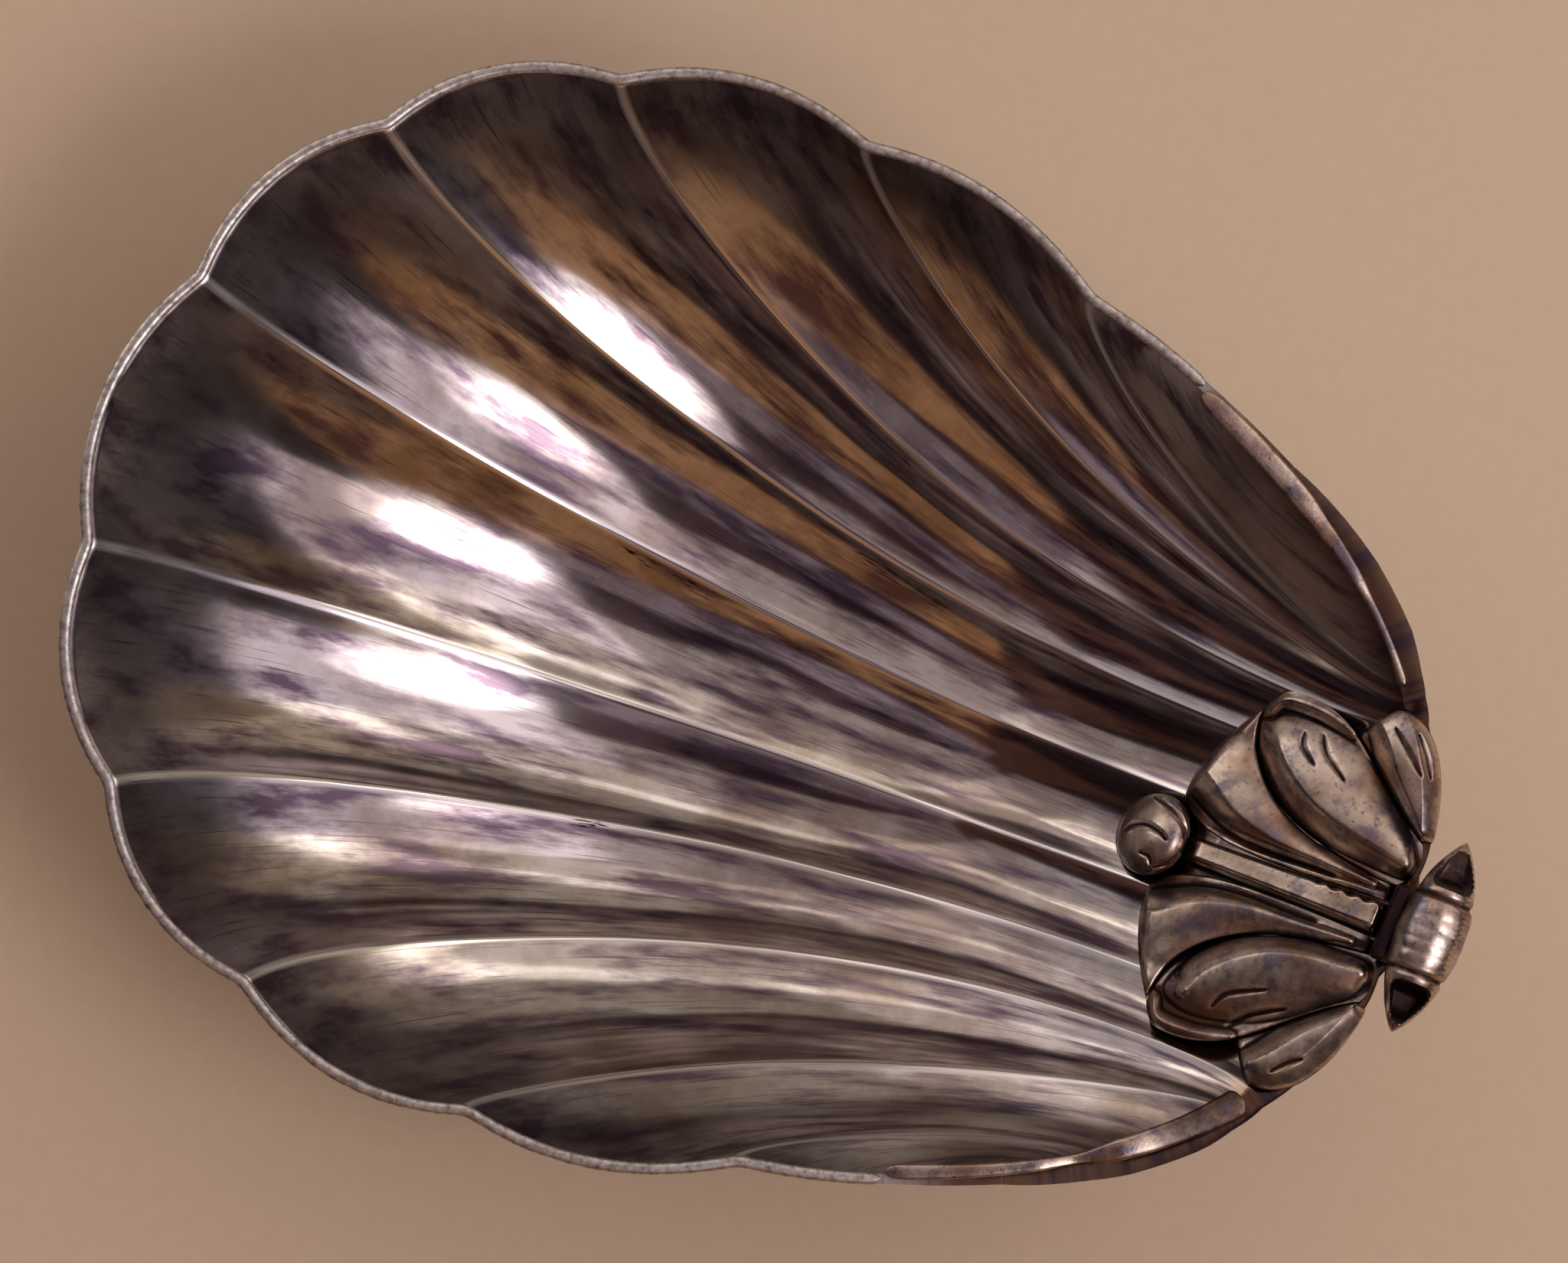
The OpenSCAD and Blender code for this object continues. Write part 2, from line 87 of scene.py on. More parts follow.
# %% [markdown]
# ## The raised bowl as a formula
#
# The smith draws the flutes on a flat disk, then raises the disk. The same order works in a
# formula. A unit disk carries a fan of lines, one map turns the disk into the egg-shaped plan, another
# lifts it to the bowl's height, and each flute is then pushed outwards between two ridges. Sculpting
# could give a similar shape, but a formula keeps the ridges even and crisp.

# %% Plan and depth of the bowl
HALF_LENGTH = 223 / 2
HALF_WIDTH = 168 / 2
TAPER = 0.167
FULLNESS = 0.06
WAIST_SHARE = 0.04
WAIST_START = 0.35
SHEET = 1.6
FLOOR_SHIFT = 0.02
DISH = 0.1
WALL_POWER = 2.3
SLOPE_START = 0.35
SLOPE_BLEND = 0.12
TINY = 1e-9


def ramp(value, start, run):
    return np.clip((value - start) / run, 0, 1)


def plan_half_width(e):
    waist = np.sin(np.pi * ramp(e, -WAIST_START, 1 + WAIST_START)) ** 2
    return HALF_WIDTH * (1 - TAPER * e + FULLNESS * e ** 2 - WAIST_SHARE * waist)


def egg(p):
    width = plan_half_width(p[:, 0])
    return np.column_stack((HALF_LENGTH * p[:, 0], width * p[:, 1]))


def depth_radius(p):
    x = p[:, 0] - FLOOR_SHIFT
    along = x * FLOOR_SHIFT
    rest = 1 - FLOOR_SHIFT ** 2
    return (along + np.sqrt(along ** 2 + rest * (x ** 2 + p[:, 1] ** 2))) / rest


def slope(r):
    return r - SLOPE_START + np.hypot(r - SLOPE_START, SLOPE_BLEND)


def rise_share(p):
    r = depth_radius(p)
    wall = DISH * r ** 2 + (1 - DISH) * r ** WALL_POWER
    back_wall = (slope(r) - slope(0)) / (slope(1) - slope(0))
    x = p[:, 0] - FLOOR_SHIFT
    backward = np.where(x > 0, x ** 2 / np.maximum(x ** 2 + p[:, 1] ** 2, TINY), 0)
    return wall + (back_wall - wall) * backward


# %% [markdown]
# ## The fan of flutes
#
# Each ridge leaves the lip at an even pitch, bends inwards and ends on the rim behind the leaf. One
# curve for all would do for a cast bowl, but a hand-made one differs from side to side. So the degrees
# at which the ridges end and how strongly they bend are set for each side, from the middle line out.

# %% The fan of flutes
SIDE_FLUTES = 5
MIDDLE_FLUTE = 26.5
FLUTE_PITCH = 22.7
RIDGES = MIDDLE_FLUTE / 2 + FLUTE_PITCH * np.arange(SIDE_FLUTES + 1)
FAN_HALF = RIDGES[-1]
LEFT_BACK_ENDS = (0, 6.6, 17.6, 24, 27, 29.5, 180 - FAN_HALF)
RIGHT_BACK_ENDS = (0, 6.6, 17.6, 26.5, 30.5, 45, 180 - FAN_HALF)
LEFT_BENDS = (1, 1, 1, 0.9, 0.4, 0.45, 0.45)
RIGHT_BENDS = (1, 1, 1, 1, 0.3, 0.35, 0.35)
FLARE = 0.165
FLARE_POWER = 0.8
FAN_PROBE = 0.5
FLOOR_HOLLOW = 0.115
RIM_HOLLOW = 0.08
HOLLOW_POWER = 4
CREST_ROUND = 0.09
OUTER_FLUTE_SHARE = 0.4


def on_circle(degrees):
    return np.column_stack((np.cos(np.radians(degrees)), np.sin(np.radians(degrees))))


def by_side(angle, left, right):
    stops = (0, *RIDGES)
    spot = np.abs(angle)
    return np.where(angle > 0, np.interp(spot, stops, left), np.interp(spot, stops, right))


def fan_point(u, angle):
    front = on_circle(180 - angle)
    back = on_circle(np.sign(angle) * by_side(angle, LEFT_BACK_ENDS, RIGHT_BACK_ENDS))
    bend = by_side(angle, LEFT_BENDS, RIGHT_BENDS)
    leg = FLARE * bend * np.linalg.norm(front - back, axis=1) ** FLARE_POWER
    front_weight = (1 - u) ** 3 + 3 * u * (1 - u) ** 2 * (1 - leg)
    back_weight = u ** 3 + 3 * u ** 2 * (1 - u) * (1 - leg)
    return front_weight[:, None] * front + back_weight[:, None] * back


def flute_width(u, angle):
    pitch = np.where(np.abs(angle) < MIDDLE_FLUTE / 2, MIDDLE_FLUTE, FLUTE_PITCH)
    one = egg(fan_point(u, angle - FAN_PROBE))
    other = egg(fan_point(u, angle + FAN_PROBE))
    return np.linalg.norm(other - one, axis=1) * pitch / (2 * FAN_PROBE)


def flute_place(angle):
    past = np.abs(angle) - MIDDLE_FLUTE / 2
    count = past / FLUTE_PITCH
    return np.where(past <= 0, np.abs(angle) / MIDDLE_FLUTE + 0.5, count - np.floor(count))


def flute_depth(u, angle):
    r = np.minimum(1, depth_radius(fan_point(u, angle)))
    hollow = FLOOR_HOLLOW + (RIM_HOLLOW - FLOOR_HOLLOW) * r ** HOLLOW_POWER
    share = np.where(np.abs(angle) > FAN_HALF - FLUTE_PITCH, OUTER_FLUTE_SHARE, 1)
    fall = 1 - (2 * flute_place(angle) - 1) ** 2
    trough = np.hypot(fall, CREST_ROUND) - CREST_ROUND
    return flute_width(u, angle) * hollow * share * trough


print("ridges leave the lip at", np.round(RIDGES, 1), "degrees from the middle")

# %% [markdown]
# ## The sheet in space
#
# The flat fan is lifted to the bowl's height and pushed outwards by each flute's depth. The outer
# layer lies one sheet thickness further out. Behind the arms the real edge widens to a smooth ear
# without scallops, and under the middle the sheet is worn flat, so it stands still.

# %% The sheet in space
WIRE_OVERHANG = 0.2
FOOT_FLAT = 1
FOOT_SHEET = 1
EAR_PUSH = 3.6
EAR_START = 0.45
EAR_RUN = 0.3
EAR_END = 0.98
EAR_FADE = 0.15
EAR_POWER = 14
LEVEL_POWER = 8
PROBE = 0.004

middle_line = np.zeros(1)
lip_bulge = flute_depth(middle_line, middle_line)[0]
floor_bulge = flute_depth(middle_line + 0.5, middle_line)[0]
MID_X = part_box("rim_wire")[0].x / MM + HALF_LENGTH + lip_bulge + SHEET + WIRE_OVERHANG
BACK_X = MID_X + HALF_LENGTH
FLOOR_Z = SHEET + floor_bulge - FOOT_FLAT


def ridge_point(p):
    height = FLOOR_Z + (RIM_TOP - FLOOR_Z) * rise_share(p)
    return np.column_stack((egg(p) + (MID_X, 0), height))


def out_direction(p):
    along = ridge_point(p + (PROBE, 0)) - ridge_point(p - (PROBE, 0))
    across = ridge_point(p + (0, PROBE)) - ridge_point(p - (0, PROBE))
    out = -np.cross(along, across)
    out /= np.linalg.norm(out, axis=1)[:, None]
    out[:, 2] *= 1 - np.minimum(1, depth_radius(p)) ** LEVEL_POWER
    return out / np.linalg.norm(out, axis=1)[:, None]


def sheet_point(u, angle, outer):
    p = fan_point(u, angle)
    r = np.minimum(1, depth_radius(p))
    ear_part = np.minimum(ramp(p[:, 0], EAR_START, EAR_RUN), ramp(-p[:, 0], -EAR_END, EAR_FADE))
    ear = outer * ear_part * r ** EAR_POWER
    push = flute_depth(u, angle) * (1 - ear) + EAR_PUSH * ear + SHEET * outer
    point = ridge_point(p) + push[:, None] * out_direction(p)
    point[:, 2] = np.maximum(point[:, 2], FOOT_SHEET * (1 - outer))
    return point


print("bowl runs from", round(MID_X - HALF_LENGTH, 1), "to", round(BACK_X, 1), "mm")

# %% [markdown]
# ## Blanks
#
# A smith starts from a flat blank, and so does each piece here. A grid is added, and one extrude
# turns it into a closed slab whose points still say where they lie: along, across and in which of
# the two layers. A rule then carries every point to its final place. A bar starts as an open grid that
# is rolled into a tube, so its seam is merged and its ends are filled.

# %% Blanks and how they are shaped
MERGE_DISTANCE = 0.002
dressed = {}


def flat_blank(name, rows, columns, slab=True):
    bpy.ops.object.select_all(action="DESELECT")
    bpy.ops.mesh.primitive_grid_add(x_subdivisions=rows, y_subdivisions=columns, size=2)
    piece = bpy.context.object
    piece.name = name
    if slab:
        bpy.ops.object.mode_set(mode="EDIT")
        bpy.ops.mesh.select_all(action="SELECT")
        bpy.ops.mesh.extrude_region_move(TRANSFORM_OT_translate={"value": (0, 0, 1)})
        bpy.ops.object.mode_set(mode="OBJECT")
    flat = np.empty(len(piece.data.vertices) * 3)
    piece.data.vertices.foreach_get("co", flat)
    flat = flat.reshape(-1, 3)
    return piece, (flat[:, 0] + 1) / 2, (flat[:, 1] + 1) / 2, flat[:, 2]


def carry(piece, points):
    piece.data.vertices.foreach_set("co", (points * MM).astype(np.float32).ravel())
    piece.data.update()


def mark(piece, name, values):
    kind, field = ("FLOAT", "value") if values.ndim == 1 else ("FLOAT_VECTOR", "vector")
    attribute = piece.data.attributes.new(name, kind, "POINT")
    attribute.data.foreach_set(field, values.astype(np.float32).ravel())


def close_up(piece, smooth_angle, seam=False):
    bpy.ops.object.select_all(action="DESELECT")
    piece.select_set(True)
    bpy.context.view_layer.objects.active = piece
    bpy.ops.object.mode_set(mode="EDIT")
    bpy.ops.mesh.select_all(action="SELECT")
    if seam:
        bpy.ops.mesh.remove_doubles(threshold=MERGE_DISTANCE * MM)
        bpy.ops.mesh.fill_holes(sides=0)
        bpy.ops.mesh.select_all(action="SELECT")
    bpy.ops.mesh.normals_make_consistent(inside=False)
    bpy.ops.object.mode_set(mode="OBJECT")
    bpy.ops.object.shade_smooth_by_angle(angle=math.radians(smooth_angle))


def place(piece, node, slot):
    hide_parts(node)
    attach(piece, "root")
    dressed.setdefault(slot, []).append(piece)
    size = [round(side / MM, 1) for side in piece.dimensions]
    print(piece.name, len(piece.data.polygons), "faces,", size, "mm")


# %% [markdown]
# ## The bowl
#
# Eleven flutes run from the lip to the handle. The blank has sixteen columns for each flute, drawn
# together beside the ridges, where the sheet turns most. Hammering leaves the walls slightly uneven,
# and polished metal shows that in its reflections more than any pattern would, so fine, middling and
# broad dents are in the mesh.

# %% Bowl
BOWL_ROWS = 130
FLUTE_COLUMNS = 16
FLUTES = 2 * SIDE_FLUTES + 1
CREST_CROWDING = 0.85
ROUNDING = 1e-6
# The outermost lines stop just short of the fan's end, where the next flute would begin.
SEAM_SHARE = 0.9995
# Each row: size and depth of one kind of dent in mm, and the seed of its noise.
DENTS = ((21, 0.2, 1), (48, 0.35, 2), (10, 0.045, 4))
DENT_FADE = 6
BOWL_SMOOTH = 50
NOISE_SHIFT_X = 17.3
NOISE_SHIFT_Y = 5.1


def unevenness(points, size, seed):
    shift = Vector((seed * NOISE_SHIFT_X, seed * NOISE_SHIFT_Y, 0))
    return np.array([noise.noise(Vector(point) / size + shift) for point in points])


bowl, along_share, across_share, layer = flat_blank("shell_bowl", BOWL_ROWS, FLUTES * FLUTE_COLUMNS)
column = across_share * FLUTES
flute = np.minimum(np.floor(column + ROUNDING), FLUTES - 1).astype(int)
step = column - flute
stop = step - CREST_CROWDING * np.sin(2 * np.pi * step) / (2 * np.pi)
ridge_angles = np.concatenate((-RIDGES[::-1], RIDGES))
angle = ridge_angles[flute] + stop * (ridge_angles[flute + 1] - ridge_angles[flute])
angle = np.clip(angle, -FAN_HALF * SEAM_SHARE, FAN_HALF * SEAM_SHARE)
points = sheet_point(along_share, angle, 1 - layer)
disk = fan_point(along_share, angle)
radius = np.minimum(1, depth_radius(disk))
plan = np.column_stack((egg(disk), np.zeros(len(disk))))
dents = sum(depth * unevenness(plan, size, seed) for size, depth, seed in DENTS)
dents *= 1 - radius ** DENT_FADE
points += dents[:, None] * out_direction(disk)
points[:, 2] = np.maximum(points[:, 2], FOOT_SHEET * layer)
carry(bowl, points)

# %% [markdown]
# ## Where the bowl is worn, and where light and shade are painted
#
# Handling and polishing don't reach every spot alike. Each point notes how far along and across its
# flute it lies, so that streaks can follow the hammering, and where the metal is flecked with black or
# hazy. Two marks are painted light: the lip is made rougher and painted dark, as painted shade for the
# dark room it reflects, and the ear behind the arms is painted brown, as a painted reflection of a brown
# floor. Painting by hand would do as well, but it could not be written down.

# %% Marks for the bowl's finish
# One degree of the fan is about this many mm wide.
DEGREE_WIDTH = 1.47
# Each row: a ridge in degrees, where its stain starts and ends along the bowl, and how far below the
# ridge it lies, in mm.
STAINS = ((13.25, -36, -11, 2.4), (35.95, 1, 26, 2.4), (-35.95, -26, -14, 0.6), (58.65, 1, 11, 2))
STAIN_WIDTH = 1.9
STAIN_FADE = 4
HAZE_START = 75
HAZE_RUN = 35
# Where the lip is made rougher and painted darker; the dark is painted shade for the dark room it reflects.
DARK_LIP_START = 0.78
DARK_LIP_RUN = 0.18
DARK_LIP_BACK = 0.5
# Where the ear behind the arms is painted brown, as a painted reflection of a brown floor.
EAR_TINT_START = 0.45
EAR_TINT_RUN = 0.08
EAR_TINT_POWER = 16

lip_end = egg(fan_point(0 * angle, angle))
back_end = egg(fan_point(0 * angle + 1, angle))
line_length = np.linalg.norm(lip_end - back_end, axis=1)
width = flute_width(along_share, angle)
ridge_distance = np.minimum(stop, 1 - stop) * width
mark(bowl, "flute", np.column_stack((along_share * line_length, angle * DEGREE_WIDTH, ridge_distance)) * MM)
stain = np.zeros(len(points))
for ridge, start_x, finish_x, below in STAINS:
    beside = (ridge - angle) / FLUTE_PITCH * width - below
    within = ramp(np.minimum(points[:, 0] - start_x, finish_x - points[:, 0]), 0, STAIN_FADE)
    stain = np.maximum(stain, within * np.exp(-(beside / STAIN_WIDTH) ** 2))
mark(bowl, "stain", stain)
mark(bowl, "haze", ramp(np.abs(angle), HAZE_START, HAZE_RUN))
# The lip is made rougher and painted darker here, as painted shade for the dark room it reflects.
mark(bowl, "dull_and_painted_dark", ramp(radius, DARK_LIP_START, DARK_LIP_RUN) * (1 - ramp(disk[:, 0], 0, DARK_LIP_BACK)))
# The ear behind the arms is painted brown here, as a painted reflection of a brown floor.
mark(bowl, "painted_ear_reflection", ramp(disk[:, 0], EAR_TINT_START, EAR_TINT_RUN) * radius ** EAR_TINT_POWER)
close_up(bowl, BOWL_SMOOTH)
place(bowl, "shell_bowl", "raised_silver")

# %% [markdown]
# ## Rim band
#
# A half-round band is soldered on the sheet's edge to stiffen it. A curve with a bevel could follow
# the rim, but its points would have to be copied from the bowl. The band is swept along the bowl's own
# formula instead, with a round crown, squarer lower corners and a little wear.

# %% Rim band
WIRE_HEIGHT = 1.4
WIRE_ROWS = 760
WIRE_END = 0.004
WIRE_WEAR = 0.08
CROWN_WEAR = 0.1
WEAR_SIZE = 9
CORNER_POWER = 0.55
END_SHARE = 0.25
BAR_COLUMNS = 18
BAR_SMOOTH = 60
ARM_REACH = 62
ARM_GAP = 0.8


def rim_angle(distance_from_back):
    return 180 - math.degrees(math.acos(1 - distance_from_back / HALF_LENGTH))


def bar_section(turn_share, crown_power):
    level = np.cos(2 * np.pi * turn_share)
    upright = np.sin(2 * np.pi * turn_share)
    power = np.where(upright > 0, crown_power, CORNER_POWER)
    across = np.sign(level) * np.abs(level) ** power
    height = (np.sign(upright) * np.abs(upright) ** power + 1) / 2
    return across, height


def rounded(share, reach):
    near = 1 - ramp(share, 0, reach)
    return np.sqrt(1 - near ** 2)


def round_end(share, length):
    return END_SHARE + (1 - END_SHARE) * rounded(np.minimum(share, 1 - share), length)


wire, along_share, turn_share, _ = flat_blank("rim_wire", WIRE_ROWS, BAR_COLUMNS, slab=False)
angle = (2 * along_share - 1) * rim_angle(ARM_REACH + ARM_GAP)
inside = sheet_point(0 * angle, angle, 0)
outside = sheet_point(0 * angle, angle, 1)
side = (outside - inside) / np.linalg.norm(outside - inside, axis=1)[:, None]
across, height = bar_section(turn_share, crown_power=1)
worn = unevenness(inside, WEAR_SIZE, seed=3)
half_width = (SHEET / 2 + WIRE_OVERHANG) * (1 + WIRE_WEAR * worn) * round_end(along_share, WIRE_END)
points = (inside + outside) / 2 + (across * half_width)[:, None] * side
points[:, 2] = RIM_TOP + height * WIRE_HEIGHT * (1 - CROWN_WEAR * np.abs(worn))
carry(wire, points)
close_up(wire, BAR_SMOOTH, seam=True)
place(wire, "rim_wire", "rim_silver")

# %% [markdown]
# ## Rim arms
#
# Near the handle two cast bars take the band's place. Each begins with a rounded end, dips in an S and
# swells to a knuckle. The left one then thins to a crest, and the right one stays thick up to the leaf,
# so each has its own row of widths and heights. Each bar is painted darker at its foot and lighter on
# its crown, as painted shade and painted light, and the right one is painted dark with shade up to the
# leaf. They are swept along the rim like the band.

# %% Rim arms
LEFT = 1
RIGHT = -1
ARM_WIDTH = 2.6
ARM_HEIGHT = 2
ARM_ROWS = 180
ARM_END = 0.03
ARM_STATIONS = (0, 0.05, 0.38, 0.49, 0.62, 0.74, 1)
LEFT_ARM = {"finish": 14, "end_shade": 0.1, "widths": (1.1, 1.3, 1.3, 1, 0.8, 0.5, 0.45),
            "heights": (0.8, 1, 0.9, 0.7, 1, 0.8, 0.6)}
RIGHT_ARM = {"finish": 13, "end_shade": 0.55, "widths": (0.9, 1, 0.8, 0.6, 1.4, 1.5, 1.9),
             "heights": (0.8, 1, 1, 0.45, 1.2, 1, 1.2)}
# The foot of each bar is painted darker and its crown lighter, as painted shade and painted light, and its
# far end gets more painted shade.
ARM_FOOT_SHADE = 0.9
ARM_CROWN_PAINTED_LIGHT = 0.7
END_SHADE_START = 0.6
END_SHADE_RUN = 0.2


def eased(share, stations, values):
    stations = np.array(stations)
    values = np.array(values)
    index = np.clip(np.searchsorted(stations, share, side="right") - 1, 0, len(stations) - 2)
    t = ramp(share, stations[index], stations[index + 1] - stations[index])
    return values[index] + (values[index + 1] - values[index]) * t * t * (3 - 2 * t)


def rim_point(angle):
    flat = egg(on_circle(180 - angle)) + (MID_X, 0)
    return np.column_stack((flat, np.full(len(flat), RIM_TOP)))


def rim_outward(angle):
    run = rim_point(angle + FAN_PROBE) - rim_point(angle - FAN_PROBE)
    out = np.column_stack((-run[:, 1], run[:, 0], 0 * run[:, 0]))
    return out / np.linalg.norm(out, axis=1)[:, None]


def rim_arm(name, hand, finish, widths, heights, end_shade):
    arm, along_share, turn_share, _ = flat_blank(name, ARM_ROWS, BAR_COLUMNS, slab=False)
    start = rim_angle(ARM_REACH)
    angle = start + along_share * (rim_angle(finish) - start)
    wide = ARM_WIDTH * eased(along_share, ARM_STATIONS, widths) * round_end(along_share, ARM_END)
    high = ARM_HEIGHT * eased(along_share, ARM_STATIONS, heights)
    across, height = bar_section(turn_share, CORNER_POWER)
    points = rim_point(angle) + (SHEET / 2 + across * wide / 2)[:, None] * rim_outward(angle)
    points[:, 2] += height * high
    points[:, 1] *= hand
    carry(arm, points)
    # Painted shade darkens the foot and the far end of the bar, and painted light brightens its crown.
    shaded_end = end_shade * ramp(along_share, END_SHADE_START, END_SHADE_RUN)
    mark(arm, "patina_and_shade", ARM_FOOT_SHADE - ARM_CROWN_PAINTED_LIGHT * height + shaded_end)
    close_up(arm, BAR_SMOOTH, seam=True)
    place(arm, name, "cast_silver")


rim_arm("left_rim_arm", LEFT, **LEFT_ARM)
rim_arm("right_rim_arm", RIGHT, **RIGHT_ARM)

# %% [markdown]
# ## The cast leaf
#
# The handle is an acanthus leaf that was cast and then chased: the swellings come from the mould and
# the dark lines from a punch. Every part of it is a slab between four curved edges, seated on the
# bowl's ridges. The edges are curves of four points each, as shares of the leaf's length and half
# width, and neighbouring parts share an edge, so nothing gapes.

# %% Edges of the leaf
LEAF_LENGTH = 36
LEAF_HALF_WIDTH = 33
LEAF_SETBACK = 2.7
OUTER_LOBE_START = 0.42


def leaf_curve(*shares):
    root_x = BACK_X - LEAF_SETBACK
    return np.array([(root_x - a * LEAF_LENGTH, b * LEAF_HALF_WIDTH) for a, b in shares])


def bezier(c, t):
    t = t[:, None]
    near = (1 - t) ** 3 * c[0] + 3 * t * (1 - t) ** 2 * c[1]
    return near + 3 * t ** 2 * (1 - t) * c[2] + t ** 3 * c[3]


def curve_tail(c, t):
    ab, bc, cd = (c[i] + t * (c[i + 1] - c[i]) for i in range(3))
    abc = ab + t * (bc - ab)
    bcd = bc + t * (cd - bc)
    return np.array((abc + t * (bcd - abc), bcd, cd, c[3]))


def straight(a, b):
    return np.array((a, a + (b - a) / 3, a + 2 * (b - a) / 3, b))


inner_edge_low = leaf_curve((0.97, 0.25), (0.9, 0.067), (0.61, 0.05), (0, 0.095))
inner_to_big = leaf_curve((0.8, 0.8), (0.79, 0.47), (0.585, 0.24), (0, 0.18))
big_to_outer = leaf_curve((0.72, 0.91), (0.39, 0.97), (0.24, 0.62), (-0.04, 0.43))
outer_to_big = curve_tail(big_to_outer, OUTER_LOBE_START)
outer_edge_high = leaf_curve((0.27, 1), (0.07, 1.045), (-0.07, 0.74), (-0.09, 0.44))
inner_free_edge = leaf_curve((0.97, 0.25), (0.98, 0.44), (0.9, 0.62), (0.8, 0.8))
big_free_edge = leaf_curve((0.8, 0.8), (0.785, 0.85), (0.76, 0.9), (0.72, 0.91))
big_neck_edge = leaf_curve((0, 0.18), (-0.07, 0.22), (-0.1, 0.36), (-0.04, 0.43))
outer_free_edge = leaf_curve((0, 0), (0.36, 0.88), (0.32, 0.95), (0.27, 1))
outer_free_edge[0] = outer_to_big[0]
print("leaf root at", np.round(inner_edge_low[3], 1), "mm")

# %% [markdown]
# ## Swellings and chased lines
#
# A swelling is a roof over a smooth line: each point of the line gives its place, how far the roof
# reaches to either side, and its height, all in mm. A chased line is a smooth line that is cut in and
# thins at both ends, which is how a chaser draws it on the metal. Sculpting could give both, but
# numbers can be changed and run again.

# %% Pads and chased lines
SEAT_GAP = 0.2
GROOVE = 0.012
CREST_POWER = 1.8
LINE_STEPS = 40
ROLL_STEPS = 30
LINE_TIP = 0.35
THINNEST = 0.05
RECESS_BASE = 0.5
RECESS_GAIN = 3
BLUR_STEPS = 14
LEAF_EDGE = 1.4
TIP_EDGE = 0.3
PAD_SMOOTH = 55


def patch_point(low, high, start, finish, s, v):
    along = s[:, None]
    up = v[:, None]
    low_side = (1 - along) * low[0] + along * low[3]
    high_side = (1 - along) * high[0] + along * high[3]
    corners = (1 - up) * low_side + up * high_side
    between_sides = (1 - up) * bezier(low, s) + up * bezier(high, s)
    between_ends = (1 - along) * bezier(start, v) + along * bezier(finish, v)
    return between_sides + between_ends - corners


def seat_height(plan):
    e = (plan[:, 0] - MID_X) / HALF_LENGTH
    p = np.column_stack((e, plan[:, 1] / plan_half_width(e)))
    inside = np.linalg.norm(p, axis=1) < 1
    return SEAT_GAP + np.where(inside, FLOOR_Z + (RIM_TOP - FLOOR_Z) * rise_share(p), RIM_TOP)


def smooth_line(points, steps):
    p = np.array([points[0], *points, points[-1]], float)
    line = []
    for a, b, c, d in zip(p, p[1:], p[2:], p[3:]):
        bend = 2 * a - 5 * b + 4 * c - d
        twist = 3 * (b - c) + d - a
        for t in np.arange(steps) / steps:
            line.append(b + 0.5 * t * (c - a + t * (bend + t * twist)))
    return np.array(line + [p[-1]])


def chased(plan, points, width):
    line = smooth_line(points, LINE_STEPS)
    run = np.linspace(0, np.pi, len(line))
    reach = width * (LINE_TIP + (1 - LINE_TIP) * np.sin(run))
    distance = np.linalg.norm(plan[:, None, :] - line[None, :, :], axis=2)
    return np.exp(-(distance / reach) ** 2).max(axis=1)


def swollen(plan, rolls):
    rows = smooth_line(rolls, ROLL_STEPS)
    run = np.gradient(rows[:, :2], axis=0)
    offset = plan[:, None, :] - rows[None, :, :2]
    outward = run[:, 0] * offset[:, :, 1] - run[:, 1] * offset[:, :, 0] > 0
    reach = np.where(outward, rows[:, 3], rows[:, 2])
    roof = np.clip(1 - (np.linalg.norm(offset, axis=2) / reach) ** CREST_POWER, 0, 1)
    return (roof * rows[:, 4]).max(axis=1)


def thin_edge(s, v, tip_reach, side_share, side_reach):
    tip = TIP_EDGE + (1 - TIP_EDGE) * rounded(s, tip_reach)
    sides = side_share + (1 - side_share) * rounded(np.minimum(v, 1 - v), side_reach)
    return LEAF_EDGE * tip * sides


def sunk(height, s, v, rows, columns):
    i = np.rint(s * rows).astype(int)
    j = np.rint(v * columns).astype(int)
    sheet = np.zeros((rows + 1, columns + 1))
    sheet[i, j] = height
    blurred = sheet
    for _ in range(BLUR_STEPS):
        wide = np.pad(blurred, 1, mode="edge")
        beside = wide[:-2, 1:-1] + wide[2:, 1:-1] + wide[1:-1, :-2] + wide[1:-1, 2:]
        blurred = (beside + 2 * blurred) / 6
    return (blurred - sheet)[i, j]


def pad(name, edges, relief, hand, grid, side_shade=0):
    rows, columns = grid
    piece, s, v, layer = flat_blank(name, rows, columns)
    plan = patch_point(*edges, s, GROOVE + (1 - 2 * GROOVE) * v)
    height = relief(s, v, plan)
    points = np.column_stack((plan, seat_height(plan) + layer * np.maximum(height, THINNEST)))
    points[:, 1] *= hand
    carry(piece, points)
    top = layer > 0.5
    depth = sunk(height[top], s[top], v[top], rows, columns)
    patina_and_shade = np.ones(len(s))
    # The extra darkness given to a piece is painted shade, for the side of the leaf away from the light.
    patina_and_shade[top] = np.clip(RECESS_BASE + side_shade + RECESS_GAIN * depth, 0, 1)
    mark(piece, "patina_and_shade", patina_and_shade)
    close_up(piece, PAD_SMOOTH)
    place(piece, name, "cast_silver")


# %% [markdown]
# ## Inner leaves
#
# Two broad leaves lie beside the midrib, each with one long roll and a shoulder towards its tip. The
# left one has an extra fold and a deeper crease, and the right one is painted darker, as painted shade
# for the side of the leaf away from the light. Both are pads between the same edges, one of them
# mirrored.

